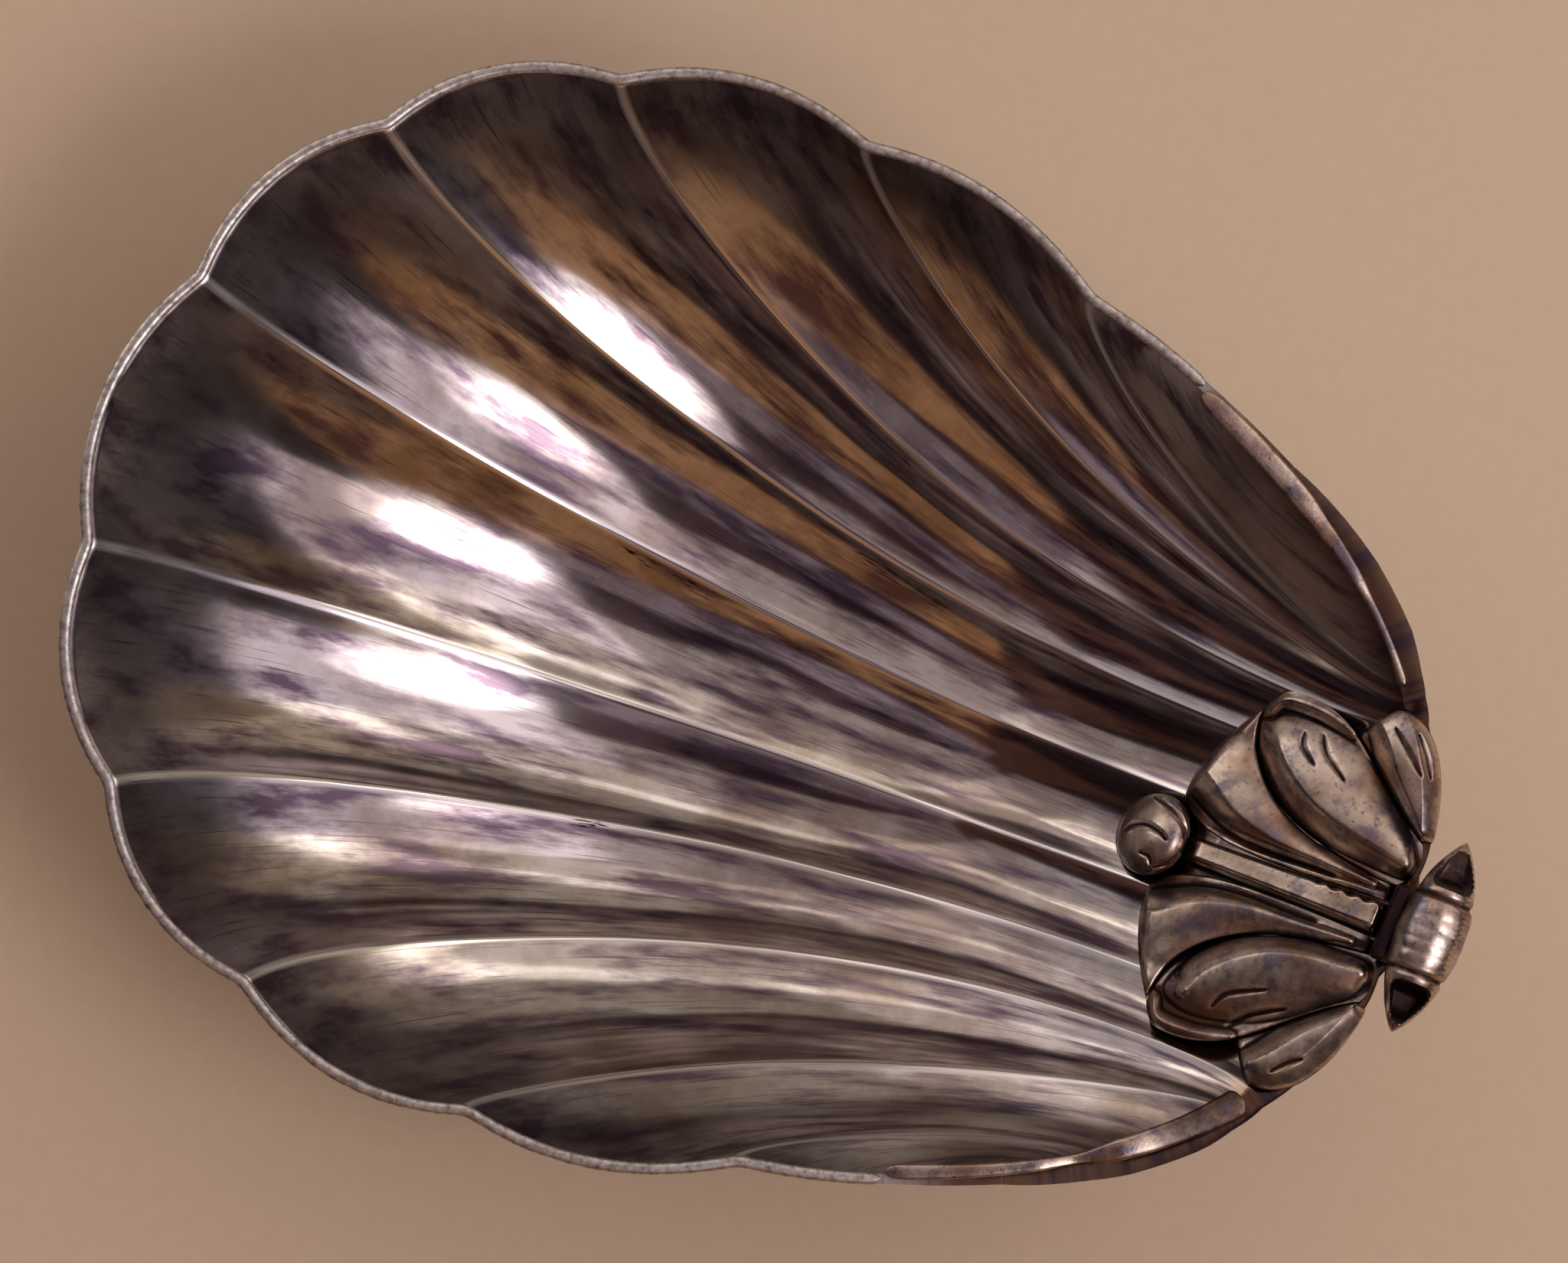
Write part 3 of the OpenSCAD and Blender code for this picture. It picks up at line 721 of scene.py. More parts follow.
# %% Inner leaves
LEAF_GRID = (90, 60)
INNER_ROLLS = [(71.2, 13.6, 4, 4, 2.2), (75.6, 10.4, 3.6, 10, 4), (80.6, 7.6, 2.9, 8, 4.2),
               (87, 6, 2, 4.8, 3.4), (95, 5.5, 1.3, 2.2, 2.2), (103, 5, 1, 1, 1.4)]
INNER_SHOULDER = [(75.2, 22, 3, 3, 1.2), (77, 18, 3, 3, 1.4), (80, 14.6, 2.4, 2.4, 1)]
INNER_FOLD = [(76, 3.6, 0.9, 0.9, 0.7), (84, 3, 0.9, 0.9, 0.8), (95, 3.4, 0.8, 0.8, 0.8),
              (104, 3.8, 0.6, 0.6, 0.5)]
INNER_CREASE = [(71.2, 7.9), (75.1, 5.2), (81.1, 3.9), (88.4, 4.2), (97, 4)]
CREASE_WIDTH = 0.9
LEFT_CREASE = 0.6
RIGHT_CREASE = 0.4
LEFT_FOLD = 0.8
RIGHT_FOLD = 0
# How much painted shade darkens the right inner leaf, on the side away from the light.
INNER_SIDE_SHADE = 0.18
INNER_TIP_RISE = 0.1
INNER_ROOT_SHARE = 0.2
INNER_ROOT_RUN = 0.12


def inner_relief(fold_share, crease_depth):
    def relief(s, v, plan):
        edge = thin_edge(s, v, tip_reach=0.05, side_share=0.5, side_reach=0.08)
        folds = np.hypot(swollen(plan, INNER_ROLLS), swollen(plan, INNER_SHOULDER))
        folds += fold_share * swollen(plan, INNER_FOLD)
        crease = crease_depth * chased(plan, INNER_CREASE, CREASE_WIDTH)
        root = INNER_ROOT_SHARE + (1 - INNER_ROOT_SHARE) * rounded(1 - s, INNER_ROOT_RUN)
        return (edge + folds * rounded(s, INNER_TIP_RISE) - crease) * root
    return relief


inner_root = straight(inner_edge_low[3], inner_to_big[3])
inner_edges = (inner_edge_low, inner_to_big, inner_free_edge, inner_root)
left_form = inner_relief(LEFT_FOLD, LEFT_CREASE)
right_form = inner_relief(RIGHT_FOLD, RIGHT_CREASE)
pad("left_inner_leaf", inner_edges, left_form, LEFT, LEAF_GRID)
pad("right_inner_leaf", inner_edges, right_form, RIGHT, LEAF_GRID, INNER_SIDE_SHADE)

# %% [markdown]
# ## Big lobes
#
# Outside the inner leaves swell two almond-shaped lobes with a rolled border and two cut veins each.
# A stretched sphere would be too even: the real almonds are steep towards the midrib and flatter
# outwards, so each row of the roof has two reaches.

# %% Big lobes
LOBE_GRID = (110, 90)
LEFT_ALMOND = [(80.6, 22, 2.6, 2.6, 4.2), (82.2, 19.4, 2.8, 7, 5.6), (84.8, 16.8, 3.2, 10, 6.4),
               (88.4, 14.4, 3.4, 11.5, 6.9), (92.4, 12.7, 3.5, 10.5, 6.9), (96.6, 11.5, 3.5, 8.6, 6.3),
               (101, 10.6, 3.1, 6.2, 5.2), (106, 9.6, 2.4, 2.4, 3.6)]
RIGHT_ALMOND = [(82, 22.4, 2.6, 2.6, 4.2), (83.6, 18.6, 3, 7.5, 5.6), (87.2, 14.8, 3.2, 10.5, 6.5),
                (91.6, 12, 3.2, 11, 6.9), (96.6, 10.4, 3, 9, 6.3), (101.6, 9.8, 2.7, 6.2, 5.2),
                (106, 9.4, 2.4, 2.4, 3.6)]
LOBE_BORDER = [(78, 25.6, 1.5, 1.5, 1.8), (79.4, 28.2, 1.7, 1.7, 2), (85, 28.4, 1.6, 1.6, 2),
               (91, 27, 1.3, 1.3, 1)]
LEFT_LOBE_VEINS = [
    [(84.2, 24.2), (84.6, 22), (87.2, 19.6)],
    [(87.1, 24.9), (88.6, 22.1), (92.5, 18.9)],
]
RIGHT_LOBE_VEINS = [
    [(86.8, 23.4), (88.3, 20.6), (93.5, 17.7)],
    [(90.5, 25.5), (93, 22.5), (97.5, 19.5)],
]
VEIN_WIDTH = 0.55
VEIN_DEPTH = 0.5
LOBE_EDGE = 0.06
# How much painted shade darkens the right lobes, on the side away from the light.
LOBE_SIDE_SHADE = 0.22


def lobe_relief(roofs, veins, side_reach):
    def relief(s, v, plan):
        edge = thin_edge(s, v, tip_reach=0.06, side_share=0.4, side_reach=side_reach)
        body = np.max([swollen(plan, roof) for roof in roofs], axis=0)
        cuts = sum(chased(plan, vein, VEIN_WIDTH) for vein in veins)
        return edge + body * rounded(1 - s, side_reach) - VEIN_DEPTH * cuts
    return relief


lobe_edges = (inner_to_big, big_to_outer, big_free_edge, big_neck_edge)
left_form = lobe_relief((LEFT_ALMOND, LOBE_BORDER), LEFT_LOBE_VEINS, LOBE_EDGE)
right_form = lobe_relief((RIGHT_ALMOND, LOBE_BORDER), RIGHT_LOBE_VEINS, LOBE_EDGE)
pad("left_big_lobe", lobe_edges, left_form, LEFT, LOBE_GRID)
pad("right_big_lobe", lobe_edges, right_form, RIGHT, LOBE_GRID, LOBE_SIDE_SHADE)

# %% [markdown]
# ## Outer lobes
#
# Two smaller lobes hook over the rim beside the scroll. They are made like the big ones, with one
# roof each and shorter veins, and they start part of the way along the big lobes' outer edge.

# %% Outer lobes
LEFT_HOOK = [(94.4, 29.6, 2, 2, 2.6), (97.3, 26, 2.2, 7, 4.2), (100, 22.4, 2.4, 7.5, 4.8),
             (103.2, 19, 2.3, 6, 4.6), (106.4, 15.6, 1.9, 4, 3.6), (110.4, 11, 2, 4, 2)]
RIGHT_HOOK = [(94.8, 29.8, 2, 2, 2.6), (98.2, 25.8, 2.4, 7.4, 4.4), (101.2, 22, 2.5, 7.4, 5),
              (104.2, 18.8, 2.3, 5.4, 4.6), (106.8, 15.6, 1.9, 4, 3.6), (110.4, 11, 2, 4, 2)]
LEFT_HOOK_VEINS = [
    [(96.6, 29.6), (99.7, 26.6), (103, 23.8)],
    [(100.4, 30.1), (103, 27), (104.8, 24)],
]
RIGHT_HOOK_VEINS = [
    [(98.4, 29.8), (100.2, 27.7), (102.2, 26.1)],
]
HOOK_EDGE = 0.1

hook_root = straight(outer_to_big[3], outer_edge_high[3])
hook_edges = (outer_to_big, outer_edge_high, outer_free_edge, hook_root)
left_form = lobe_relief((LEFT_HOOK,), LEFT_HOOK_VEINS, HOOK_EDGE)
right_form = lobe_relief((RIGHT_HOOK,), RIGHT_HOOK_VEINS, HOOK_EDGE)
pad("left_outer_lobe", hook_edges, left_form, LEFT, LEAF_GRID)
pad("right_outer_lobe", hook_edges, right_form, RIGHT, LEAF_GRID, LOBE_SIDE_SHADE)

# %% [markdown]
# ## Midrib
#
# A flat-topped bar runs up the middle of the leaf. Towards its root one edge is nicked by small file
# cuts, which a wave in that edge gives. A bevelled box would be quicker, but too clean.

# %% Midrib
RIB_GRID = (110, 24)
END_GAP = 0.4
BUD_LENGTH = 11.2
BUD_WIDTH = 14.4
BUD_OVERHANG = 1.4
MIDRIB_HEIGHT = 4.9
RIB_TIP_HALF = 2
RIB_ROOT_HALF = 2.7
RIB_LOW_ROUND = 0.24
RIB_HIGH_ROUND = 0.12
RIB_END_ROUND = 0.05
NICK_DEPTH = 0.05
NICK_RATE = 2.4
NICK_START = 0.55
NICK_RUN = 0.2
bud_x = leaf_curve((1, 0))[0, 0] - BUD_OVERHANG
rib_tip_x = bud_x + BUD_LENGTH / 2 + END_GAP
rib_end_x = leaf_curve((0, 0))[0, 0]


def midrib_relief(s, v, plan):
    nicks = NICK_DEPTH * np.sin(NICK_RATE * plan[:, 0]) * ramp(s, NICK_START, NICK_RUN)
    top_edge = np.clip(1 - v - NICK_DEPTH - nicks, 0, 1)
    ends = rounded(s, RIB_END_ROUND) * rounded(1 - s, RIB_END_ROUND)
    return MIDRIB_HEIGHT * rounded(v, RIB_LOW_ROUND) * rounded(top_edge, RIB_HIGH_ROUND) * ends


rib_low = straight(np.array((rib_tip_x, -RIB_TIP_HALF)), np.array((rib_end_x, -RIB_ROOT_HALF)))
rib_high = rib_low * (1, -1)
rib_edges = (rib_low, rib_high, straight(rib_low[0], rib_high[0]), straight(rib_low[3], rib_high[3]))
pad("midrib", rib_edges, midrib_relief, LEFT, RIB_GRID)

# %% [markdown]
# ## Curled bud
#
# The leaf's tip curls over on itself inside the bowl. It is a dome on an oval of four arcs, and the
# curl is cut in with four chased lines, as it is on the casting.

# %% Curled bud
BUD_GRID = (80, 80)
BUD_EDGE = 1.2
BUD_RISE = 8.6
DOME_POWER = 0.8
BUD_CURLS = [
    [(-4.8, -1.5), (-4, -0.2), (-2.2, 0.7), (0.2, 0.3), (1.7, -0.5)],
    [(-1.4, -3.9), (0.1, -4.1), (1, -5.1)],
    [(-2.4, 5.6), (1, 4.6), (4, 2.6), (5.2, 0.6)],
    [(5.2, -1.8), (3.9, -3.8), (1.6, -5.4)],
]
CURL_WIDTH = 0.5
CURL_DEPTH = 0.7


def arc_edge(start, finish):
    reach = 4 / 3 * math.tan(math.radians(finish - start) / 4)
    radii = np.array((BUD_LENGTH, BUD_WIDTH)) / 2
    first, last = on_circle((start, finish)) * radii
    first_run, last_run = on_circle((start + 90, finish + 90)) * radii
    return np.array((first, first + reach * first_run, last - reach * last_run, last)) + (bud_x, 0)


def bud_relief(s, v, plan):
    x = (plan[:, 0] - bud_x) / (BUD_LENGTH / 2)
    y = plan[:, 1] / (BUD_WIDTH / 2)
    dome = np.sqrt(np.clip(1 - x ** 2 - y ** 2, 0, 1))
    cuts = sum(chased(plan - (bud_x, 0), curl, CURL_WIDTH) for curl in BUD_CURLS)
    return BUD_EDGE + BUD_RISE * dome ** DOME_POWER - CURL_DEPTH * cuts


bud_edges = (arc_edge(-135, -45), arc_edge(135, 45), arc_edge(225, 135), arc_edge(-45, 45))
pad("curled_bud", bud_edges, bud_relief, LEFT, BUD_GRID)

# %% [markdown]
# ## Thumb scroll
#
# Outside the bowl the leaf ends in a scroll for the thumb: a spindle across the handle, reeded in the
# middle and hollowed to a cup near each tip. A spin could turn the spindle. A rolled blank does the
# same and lets its radius follow the reeds, collars, beads and wear.

# %% Thumb scroll
SCROLL_DIAMETER = 11.2
SCROLL_LENGTH = 33
SCROLL_REACH = 5.2
SCROLL_ROWS = 220
SCROLL_COLUMNS = 120
SCROLL_SMOOTH = 50
TIP_POWER = 0.8
TIP_SHARE = 0.004
BARREL_LENGTH = 12.4
REEDS = 7
REED_DEPTH = 0.07
COLLAR = 6.4
COLLAR_WIDTH = 0.5
COLLAR_DEPTH = 0.6
BEAD_PITCH = 0.9
BEAD_HEIGHT = 0.16
BEAD_TURN = 0.6
BEAD_SPREAD = 0.25
BEAD_FADE = 3
SCROLL_WEAR = 0.2
SCROLL_WEAR_SIZE = 3.5
scroll_radius = SCROLL_DIAMETER / 2
scroll_x = BACK_X + SCROLL_REACH
scroll_z = RIM_TOP + SEAT_GAP + scroll_radius


def turned_point(radius, y, turned):
    return np.column_stack((scroll_x + radius * np.cos(turned), y, scroll_z + radius * np.sin(turned)))


scroll, along_share, turn_share, _ = flat_blank("thumb_scroll", SCROLL_ROWS, SCROLL_COLUMNS, slab=False)
y = (along_share - 0.5) * SCROLL_LENGTH
turned = 2 * np.pi * turn_share
reach = scroll_radius * np.clip(1 - (2 * along_share - 1) ** 2, TIP_SHARE, 1) ** TIP_POWER
reed_wave = 1 - np.abs(np.cos(np.pi * y * (REEDS - 1) / BARREL_LENGTH))
reed = np.where(np.abs(y) < BARREL_LENGTH / 2, reed_wave, 0)
collar = np.exp(-((np.abs(y) - COLLAR) / COLLAR_WIDTH) ** 2)
bead_place = np.exp(-((turned - BEAD_TURN) / BEAD_SPREAD) ** 2) * np.minimum(1, reach / BEAD_FADE)
radius = reach - REED_DEPTH * reed - COLLAR_DEPTH * collar * (reach / scroll_radius)
radius += BEAD_HEIGHT * np.sin(2 * np.pi * y / BEAD_PITCH) * bead_place
wear = unevenness(turned_point(radius, y, turned), SCROLL_WEAR_SIZE, seed=5)
radius += SCROLL_WEAR * wear * reach / scroll_radius
points = turned_point(radius, y, turned)

# %% [markdown]
# ## Cups of the scroll
#
# A boolean could cut the cups, but it would leave a ragged mesh. The points above a cup's floor are
# lowered to it instead, and how far they sink says how dark the cup is. The right cup is painted
# darker than the left, as painted shade.

# %% Cups of the scroll
CUP_START = 8
CUP_END = 15.4
CUP_WALL = 0.6
CUP_FLOOR = -1.4
CUP_RIM = 2.2
CUP_SIDE_RUN = 0.45
CUP_BACK_RUN = 0.3
CUP_BACK_RISE = 5
CUP_TIP_START = 0.5
SCROLL_DARK = 0.3
REED_DARK = 0.2
COLLAR_DARK = 0.6
# The right cup gets more darkness than the left: painted shade.
LEFT_CUP_DARK = 0.12
RIGHT_CUP_DARK = 0.35

inside = 1 - np.abs(points[:, 0] - scroll_x) / np.maximum(reach - CUP_WALL, THINNEST)
past = (np.abs(y) - CUP_START) / (CUP_END - CUP_START)
side_wall = (1 - ramp(inside, 0, CUP_SIDE_RUN)) ** 2
back_wall = (1 - ramp(past, 0, CUP_BACK_RUN)) ** 2
tip_wall = ramp(past, CUP_TIP_START, 1 - CUP_TIP_START) ** 2
wall_rise = (CUP_RIM - CUP_FLOOR) * np.maximum(side_wall, tip_wall) + CUP_BACK_RISE * back_wall
cup_floor = scroll_z + CUP_FLOOR + wall_rise
in_cup = (inside > 0) & (past > 0) & (past < 1) & (points[:, 2] > cup_floor)
depth = np.where(in_cup, points[:, 2] - cup_floor, 0)
points[in_cup, 2] = cup_floor[in_cup]
carry(scroll, points)
cup_dark = np.where(y > 0, LEFT_CUP_DARK, RIGHT_CUP_DARK) * depth
mark(scroll, "patina_and_shade", np.clip(SCROLL_DARK + cup_dark + REED_DARK * reed + COLLAR_DARK * collar, 0, 1))
close_up(scroll, SCROLL_SMOOTH, seam=True)
place(scroll, "thumb_scroll", "cast_silver")

# %% [markdown]
# ## Neck
#
# A short block, painted dark all over as shade, joins the leaf to the scroll. It starts as a cube, its
# edges are bevelled, and a cylinder cuts a saddle in it, so that the scroll rests in the neck without
# touching through it.

# %% Neck
NECK_WIDTH = 12.8
NECK_HEIGHT = 5
NECK_BEVEL = 0.8
NECK_SMOOTH = 40
SADDLE_SIDES = 96
neck_x = rib_end_x + END_GAP
bpy.ops.object.select_all(action="DESELECT")
bpy.ops.mesh.primitive_cube_add(size=1)
neck = bpy.context.object
neck.name = "scroll_neck"
neck_size = Vector((scroll_x - neck_x, NECK_WIDTH, NECK_HEIGHT)) * MM
neck_middle = Vector(((scroll_x + neck_x) / 2, 0, RIM_TOP + SEAT_GAP + NECK_HEIGHT / 2)) * MM
neck.data.transform(Matrix.Translation(neck_middle) @ Matrix.Diagonal((*neck_size, 1)))
bevel = neck.modifiers.new("soft edges", "BEVEL")
bevel.width = NECK_BEVEL * MM
bevel.segments = 3
bpy.ops.mesh.primitive_cylinder_add(
    vertices=SADDLE_SIDES, radius=(scroll_radius + SEAT_GAP) * MM, depth=2 * NECK_WIDTH * MM,
    location=(scroll_x * MM, 0, scroll_z * MM), rotation=(math.pi / 2, 0, 0))
saddle = bpy.context.object
cut = neck.modifiers.new("saddle", "BOOLEAN")
cut.operation = "DIFFERENCE"
cut.object = saddle
bpy.context.view_layer.objects.active = neck
bpy.ops.object.modifier_apply(modifier="soft edges")
bpy.ops.object.modifier_apply(modifier="saddle")
bpy.data.objects.remove(saddle)
# The whole neck gets the darkest mark, painted shade for the shadow between the midrib and the scroll.
mark(neck, "patina_and_shade", np.ones(len(neck.data.vertices)))
close_up(neck, NECK_SMOOTH)
place(neck, "scroll_neck", "cast_silver")

# %% [markdown]
# ## Finishes
#
# Silver that is handled and seldom polished keeps bright ridges and turns brown and purple between
# them. Each finish is a metal colour under a stack of thin layers. A layer has a share from 0 to 1,
# made from a pattern or a mark, and a tint. Colours are written as they look on screen and turned to
# linear light, and the size of every pattern is given in mm.


# %% Colour and node helpers
def colour(hex_code):
    parts = [int(hex_code[i:i + 2], 16) / 255 for i in (1, 3, 5)]
    linear = [c / 12.92 if c <= 0.04045 else ((c + 0.055) / 1.055) ** 2.4 for c in parts]
    return (*linear, 1)


def add_node(tree, kind, inputs=None, **settings):
    node = tree.nodes.new(kind)
    for name, value in settings.items():
        setattr(node, name, value)
    for key, value in (inputs or {}).items():
        if isinstance(value, bpy.types.NodeSocket):
            tree.links.new(value, node.inputs[key])
        else:
            node.inputs[key].default_value = value
    return node


def new_finish(name):
    material = bpy.data.materials.new(name)
    material.use_nodes = True
    return material, material.node_tree


def per_mm(size):
    return 1 / (size * MM)


def finish_metal(slot, material, tone, roughness, relief):
    tree = material.node_tree
    shader = tree.nodes["Principled BSDF"]
    shader.inputs["Metallic"].default_value = 1
    tree.links.new(tone, shader.inputs["Base Color"])
    tree.links.new(roughness, shader.inputs["Roughness"])
    tree.links.new(relief.outputs["Normal"], shader.inputs["Normal"])
    for piece in dressed[slot]:
        piece.data.materials.clear()
        piece.data.materials.append(material)
    print(material.name, "on", len(dressed[slot]), "pieces,", len(tree.nodes), "nodes")


# %% [markdown]
# ## Raised silver
#
# The bowl is sterling silver, raised with a hammer and burnished: a warm mirror, broken into streaks
# that run along the flutes. Noise stretched along each flute gives the streaks, the fine scratches and
# the black flecks, and plain noise gives broad warm clouds. Real polishing scratches are finer than a
# tenth of a millimetre, so they are drawn half a millimetre wide to show.

# %% Raised silver: patterns
CLOUD_SIZE = 30
# Each row: name, length and width of a mark in mm, detail, roughness.
GRAINS = (("streak", 20, 6.5, 5, 0.6), ("scratch", 18, 0.5, 2, 0.5), ("fleck", 3.4, 0.45, 3, 0.5))
raised, tree = new_finish("raised_tarnished_silver")
worn_and_painted_at = {}
for name in ("stain", "haze", "dull_and_painted_dark", "painted_ear_reflection"):
    worn_and_painted_at[name] = add_node(tree, "ShaderNodeAttribute", attribute_name=name).outputs["Fac"]
flute_at = add_node(tree, "ShaderNodeAttribute", attribute_name="flute").outputs["Vector"]
flute_parts = add_node(tree, "ShaderNodeSeparateXYZ", {"Vector": flute_at})
place_on = add_node(tree, "ShaderNodeTexCoord").outputs["Object"]
cloud = add_node(tree, "ShaderNodeTexNoise", {
    "Vector": place_on, "Scale": per_mm(CLOUD_SIZE), "Detail": 6, "Roughness": 0.62}).outputs["Fac"]
grain = {}
for name, length, width, detail, roughness in GRAINS:
    stretch = (per_mm(length), per_mm(width), 0)
    stretched = add_node(tree, "ShaderNodeVectorMath", {0: flute_at, 1: stretch}, operation="MULTIPLY")
    grain[name] = add_node(tree, "ShaderNodeTexNoise", {
        "Vector": stretched.outputs["Vector"], "Scale": 1, "Detail": detail,
        "Roughness": roughness}).outputs["Fac"]

# %% Raised silver: layers
FLECK_HOLD = 0.5
DARK_LIP_SHARE = 0.72
RIDGE_BRIGHT = 0.3
RIDGE_FADE = 1.1
HAZE_ROUGH = 0.22
SCRATCH_DEPTH = 0.005
flecks = add_node(tree, "ShaderNodeMath", {0: worn_and_painted_at["stain"], 1: FLECK_HOLD, 2: grain["fleck"]},
                  operation="MULTIPLY_ADD").outputs[0]
# At the lip the silver is rougher and painted darker, as painted shade.
dull_and_painted_dark = add_node(tree, "ShaderNodeMath", {0: worn_and_painted_at["dull_and_painted_dark"], 1: DARK_LIP_SHARE},
                operation="MULTIPLY").outputs[0]
# Each row: name, pattern, where its range starts and ends, and the share at both ends.
share = {}
for name, value, low, high, at_low, at_high in (
        ("cloud", cloud, 0.42, 0.62, 0, 1),
        ("purple", grain["streak"], 0.45, 0.62, 0, 1),
        ("ridge", flute_parts.outputs["Z"], RIDGE_BRIGHT * MM, RIDGE_FADE * MM, 1, 0),
        ("scratch", grain["scratch"], 0.61, 0.7, 0, 0.6),
        ("fleck", flecks, 0.96, 1.04, 0, 1),
        ("rough", grain["streak"], 0.3, 0.7, 0.09, 0.17)):
    share[name] = add_node(tree, "ShaderNodeMapRange", {
        "Value": value, "From Min": low, "From Max": high,
        "To Min": at_low, "To Max": at_high}).outputs["Result"]
# This brown, streaked with purple, is a painted reflection of a brown floor, used behind the arms.
brown = add_node(tree, "ShaderNodeMix", {0: share["purple"], 6: colour("#775c4a"), 7: colour("#4f4246")},
                 data_type="RGBA").outputs[2]
tone = colour("#dad2ca")
for part, tint in (
        (share["cloud"], colour("#a5978a")),
        (share["purple"], colour("#6e5d68")),
        # painted shade: the lip is darkened where it would reflect the dark room
        (dull_and_painted_dark, colour("#3c3136")),
        (share["ridge"], colour("#e2dcd4")),
        (share["scratch"], colour("#4a3f40")),
        # painted reflection: the ear behind the arms is browned like a brown floor it would reflect
        (worn_and_painted_at["painted_ear_reflection"], brown),
        (share["fleck"], colour("#2b2124"))):
    tone = add_node(tree, "ShaderNodeMix", {0: part, 6: tone, 7: tint}, data_type="RGBA").outputs[2]
unpolished = add_node(tree, "ShaderNodeMath", {0: worn_and_painted_at["haze"], 1: dull_and_painted_dark}, operation="MAXIMUM").outputs[0]
rough = add_node(tree, "ShaderNodeMath", {0: unpolished, 1: HAZE_ROUGH, 2: share["rough"]},
                 operation="MULTIPLY_ADD").outputs[0]
relief = add_node(tree, "ShaderNodeBump", {
    "Height": grain["scratch"], "Distance": SCRATCH_DEPTH * MM, "Strength": 0.5})
finish_metal("raised_silver", raised, tone, rough, relief)

# %% [markdown]
# ## Rim silver
#
# The band is drawn silver wire that has been knocked and rubbed for a long time: pale where it shines
# and speckled grey in its small pits. One noise at the size of the specks drives colour, roughness and
# bump together, so that a dark speck is also dull and sunk.

# %% Rim silver
RIM_SPECK = 1.2
RIM_PIT = 0.1
rim, tree = new_finish("worn_silver_band")
place_on = add_node(tree, "ShaderNodeTexCoord").outputs["Object"]
speck = add_node(tree, "ShaderNodeTexNoise", {
    "Vector": place_on, "Scale": per_mm(RIM_SPECK), "Detail": 5, "Roughness": 0.7}).outputs["Fac"]
pitted = add_node(tree, "ShaderNodeMapRange", {
    "Value": speck, "From Min": 0.42, "From Max": 0.68}).outputs["Result"]
tone = add_node(tree, "ShaderNodeMix", {0: pitted, 6: colour("#d2ccc4"), 7: colour("#80746e")},
                data_type="RGBA").outputs[2]
rough = add_node(tree, "ShaderNodeMapRange", {
    "Value": speck, "To Min": 0.28, "To Max": 0.5}).outputs["Result"]
relief = add_node(tree, "ShaderNodeBump", {"Height": speck, "Distance": RIM_PIT * MM, "Strength": 0.5})
finish_metal("rim_silver", rim, tone, rough, relief)

# %% [markdown]
# ## Cast silver
#
# The leaf was cast, chased and never polished in its recesses: warm and reddish where it is worn, with
# lilac patches, small pits and a dark brown that gathers in every hollow. The mark for recesses, made
# with each piece, also carries painted shade on the arms, the neck, the right cup and the right side of
# the leaf, and painted light on the arms' crowns. It is roughened by a fine noise, so that the dark has
# a ragged edge.

# %% Cast silver
CAST_PIT = 0.15
# Each row: name, size in mm, detail, roughness.
CAST_NOISES = (("speck", 2.2, 6, 0.7), ("blush", 9, 4, 0.5), ("lilac", 4.5, 5, 0.65), ("pit", 0.8, 2, 0.5))
RAGGED = 0.5
cast, tree = new_finish("cast_chased_silver")
place_on = add_node(tree, "ShaderNodeTexCoord").outputs["Object"]
patina_and_shade_at = add_node(tree, "ShaderNodeAttribute", attribute_name="patina_and_shade").outputs["Fac"]
grain = {}
for name, size, detail, roughness in CAST_NOISES:
    grain[name] = add_node(tree, "ShaderNodeTexNoise", {
        "Vector": place_on, "Scale": per_mm(size), "Detail": detail,
        "Roughness": roughness}).outputs["Fac"]
# The mark holds the dark of the hollows together with the painted shade and painted light of some pieces.
deep = add_node(tree, "ShaderNodeMath", {0: grain["speck"], 1: RAGGED, 2: patina_and_shade_at},
                operation="MULTIPLY_ADD").outputs[0]
share = {}
for name, value, low, high, at_low, at_high in (
        ("blush", grain["blush"], 0.45, 0.65, 0, 1),
        ("lilac", grain["lilac"], 0.5, 0.62, 0, 1),
        ("pit", grain["pit"], 0.6, 0.72, 0, 0.6),
        ("dark", deep, 0.7, 1.15, 0, 1),
        ("rough", deep, 0.4, 1.1, 0.24, 0.5)):
    share[name] = add_node(tree, "ShaderNodeMapRange", {
        "Value": value, "From Min": low, "From Max": high,
        "To Min": at_low, "To Max": at_high}).outputs["Result"]
shade = add_node(tree, "ShaderNodeMath", {0: share["dark"], 1: share["pit"]}, operation="MAXIMUM").outputs[0]
umber = add_node(tree, "ShaderNodeMix", {0: share["blush"], 6: colour("#33252a"), 7: colour("#432f1e")},
                 data_type="RGBA").outputs[2]
tone = colour("#c8b6a6")
for part, tint in (
        (share["blush"], colour("#9a7a62")),
        (share["lilac"], colour("#8a7f87")),
        (shade, umber)):
    tone = add_node(tree, "ShaderNodeMix", {0: part, 6: tone, 7: tint}, data_type="RGBA").outputs[2]
relief = add_node(tree, "ShaderNodeBump", {
    "Height": grain["speck"], "Distance": CAST_PIT * MM, "Strength": 0.5})
finish_metal("cast_silver", cast, tone, share["rough"], relief)

# %% [markdown]
# ## Floor
#
# The shell stands on plain tan paper, a single plane with a faint fibre in its colour. It only takes
# the shadow and gives the metal something pale to reflect near the horizon.

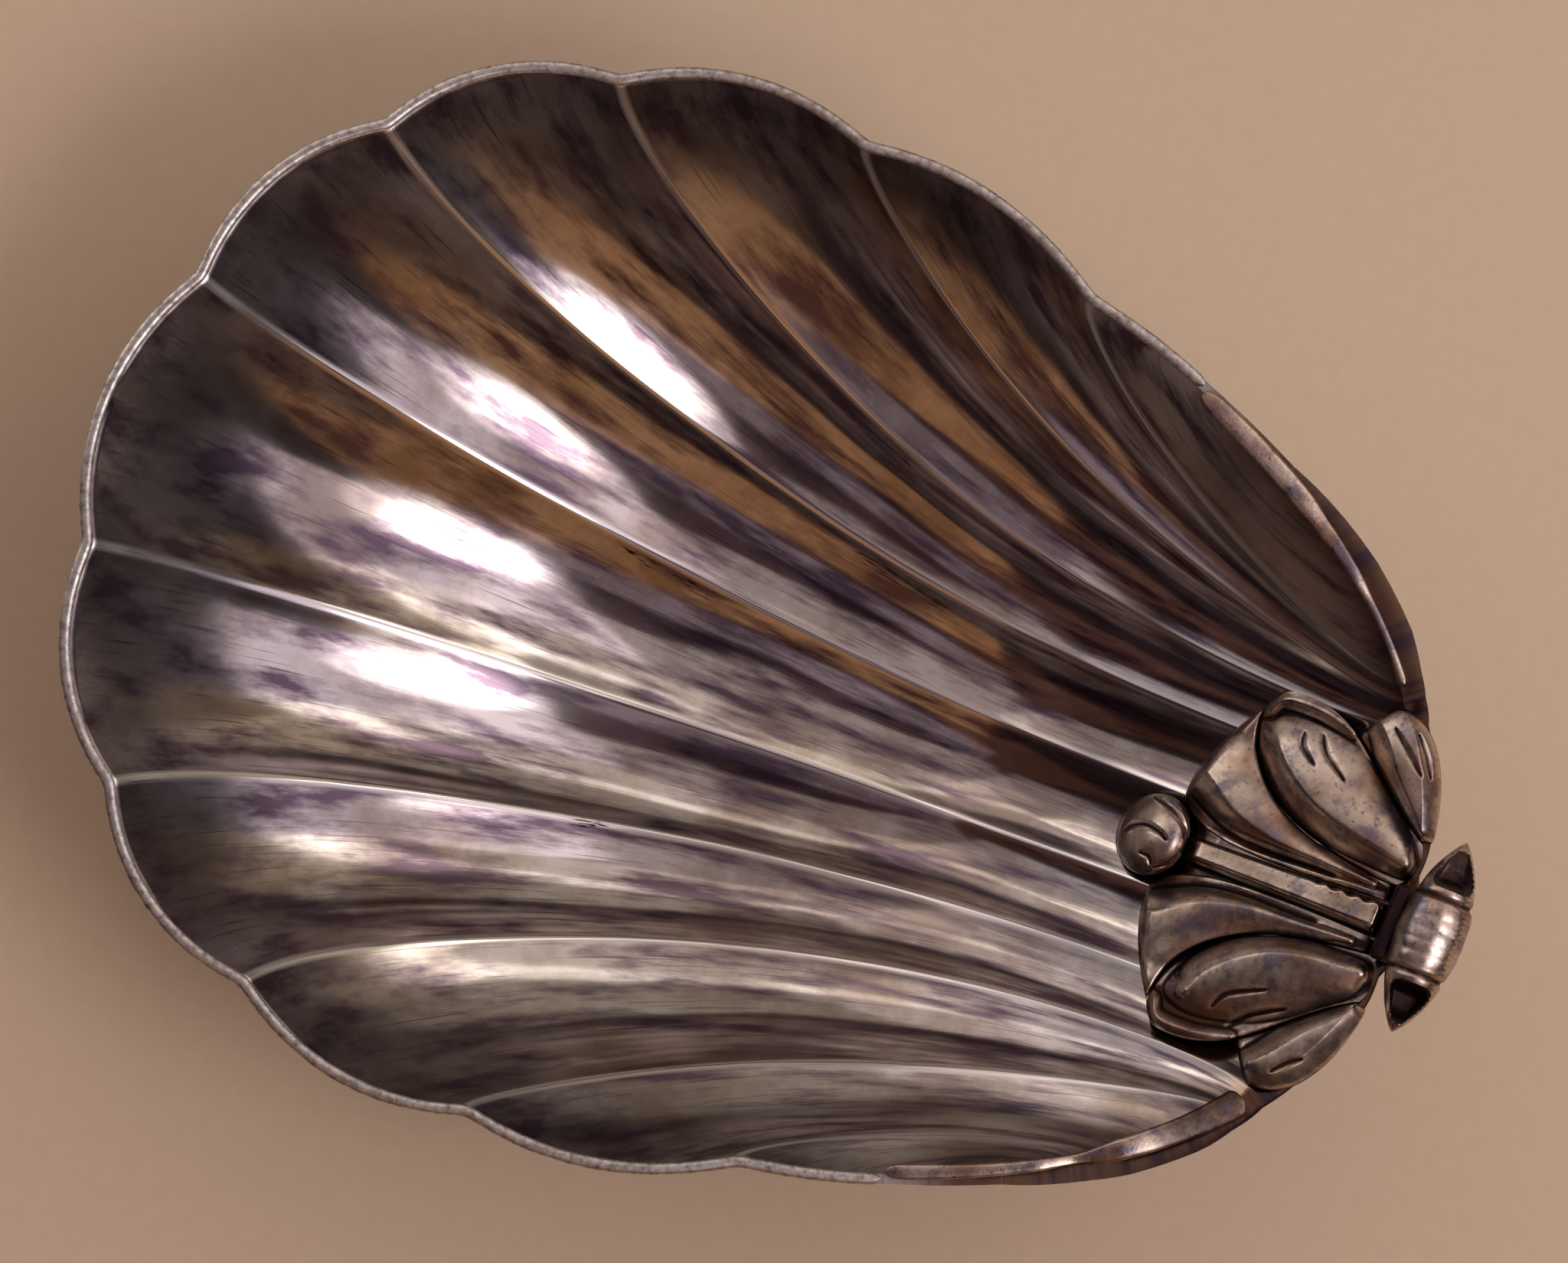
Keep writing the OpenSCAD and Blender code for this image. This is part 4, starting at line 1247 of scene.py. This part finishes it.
# %% Floor
FLOOR_SIZE = 4
FIBRE = 3
bpy.ops.object.select_all(action="DESELECT")
bpy.ops.mesh.primitive_plane_add(size=FLOOR_SIZE)
floor = bpy.context.object
floor.name = "floor"
paper, tree = new_finish("tan_paper")
shader = tree.nodes["Principled BSDF"]
place_on = add_node(tree, "ShaderNodeTexCoord").outputs["Object"]
fibre = add_node(tree, "ShaderNodeTexNoise", {
    "Vector": place_on, "Scale": per_mm(FIBRE), "Detail": 6, "Roughness": 0.6}).outputs["Fac"]
tone = add_node(tree, "ShaderNodeMix", {0: fibre, 6: colour("#dcc6aa"), 7: colour("#d3ba9b")},
                data_type="RGBA").outputs[2]
tree.links.new(tone, shader.inputs["Base Color"])
shader.inputs["Roughness"].default_value = 0.9
floor.data.materials.append(paper)
print("floor", FLOOR_SIZE, "m square")

# %% [markdown]
# ## Light
#
# Polished metal shows the room around it, so the room is built from soft panels, and the dark between
# them matters as much. The key, its halo and a scrim hang above the handle and give the white patches.
# Pale panels to the left and in front give the lavender and cream bands, and warm cards to the right
# the brown ones. A panel is placed by its lean from straight up and its turn round the bowl, and its
# glow is the brightness that the metal sees.

# %% Lights
LIGHT_AIM = Vector((0, 0, 20))


def softbox(name, lean, turned, distance, size, glow, hex_code, shape="RECTANGLE"):
    lean = math.radians(lean)
    turned = math.radians(turned)
    level = math.sin(lean)
    toward = Vector((level * math.cos(turned), level * math.sin(turned), math.cos(lean)))
    data = bpy.data.lights.new(name, "AREA")
    data.shape = shape
    data.size, data.size_y = size
    area = size[0] * size[1] * (1 if shape == "RECTANGLE" else math.pi / 4)
    data.energy = glow * math.pi * area
    data.color = colour(hex_code)[:3]
    lamp = bpy.data.objects.new(name, data)
    bpy.context.collection.objects.link(lamp)
    lamp.location = (LIGHT_AIM + distance * toward) * MM
    lamp.rotation_euler = toward.to_track_quat("Z", "Y").to_euler()
    lamp.visible_camera = False
    print(name, round(data.energy, 2), "W")


softbox("key", 36, -8, 1100, (0.54, 0.36), 4.8, "#fffaf6", "ELLIPSE")
softbox("key_halo", 37, -8, 1150, (0.75, 0.58), 1.3, "#fbf4ff", "ELLIPSE")
softbox("scrim", 40, 18, 1400, (1.25, 1.15), 0.85, "#f0e2f2")
softbox("side_strip", 57, 57, 1150, (0.5, 0.2), 1.5, "#fff6f0")
softbox("side_wall", 56, 97, 1500, (2.5, 1.5), 0.31, "#fdeadb")
softbox("top_panel", 23, 110, 1400, (2.4, 1.2), 0.34, "#f6e8e6")
softbox("rear_panel", 24, -96, 1400, (1.8, 0.46), 0.2, "#efe0f2")
softbox("olive_card", 70, 56, 1500, (0.8, 0.6), 0.12, "#ffd9a4")
softbox("long_strip", 50, 95, 1250, (2.3, 0.15), 0.85, "#fff6f0")
softbox("ceiling", 0, 0, 1600, (2.4, 2.4), 0.05, "#e6a8c0")
softbox("front_panel", 60, 150, 1350, (1.5, 1), 0.45, "#f4e8f0")
softbox("front_strip", 70, 163, 1150, (0.8, 0.28), 1.9, "#fff8ec")
softbox("warm_card", 50, -72, 1200, (2.1, 0.62), 0.3, "#ffbf88")
softbox("warm_tail", 50, -140, 1250, (1, 0.6), 0.08, "#f0a480")
softbox("far_wall", 76, -58, 1500, (1.6, 0.5), 0.1, "#e8bc98")
world = bpy.data.worlds.new("dim room")
bpy.context.scene.world = world
world.use_nodes = True
background = world.node_tree.nodes["Background"]
background.inputs["Color"].default_value = colour("#2c2126")
background.inputs["Strength"].default_value = 1
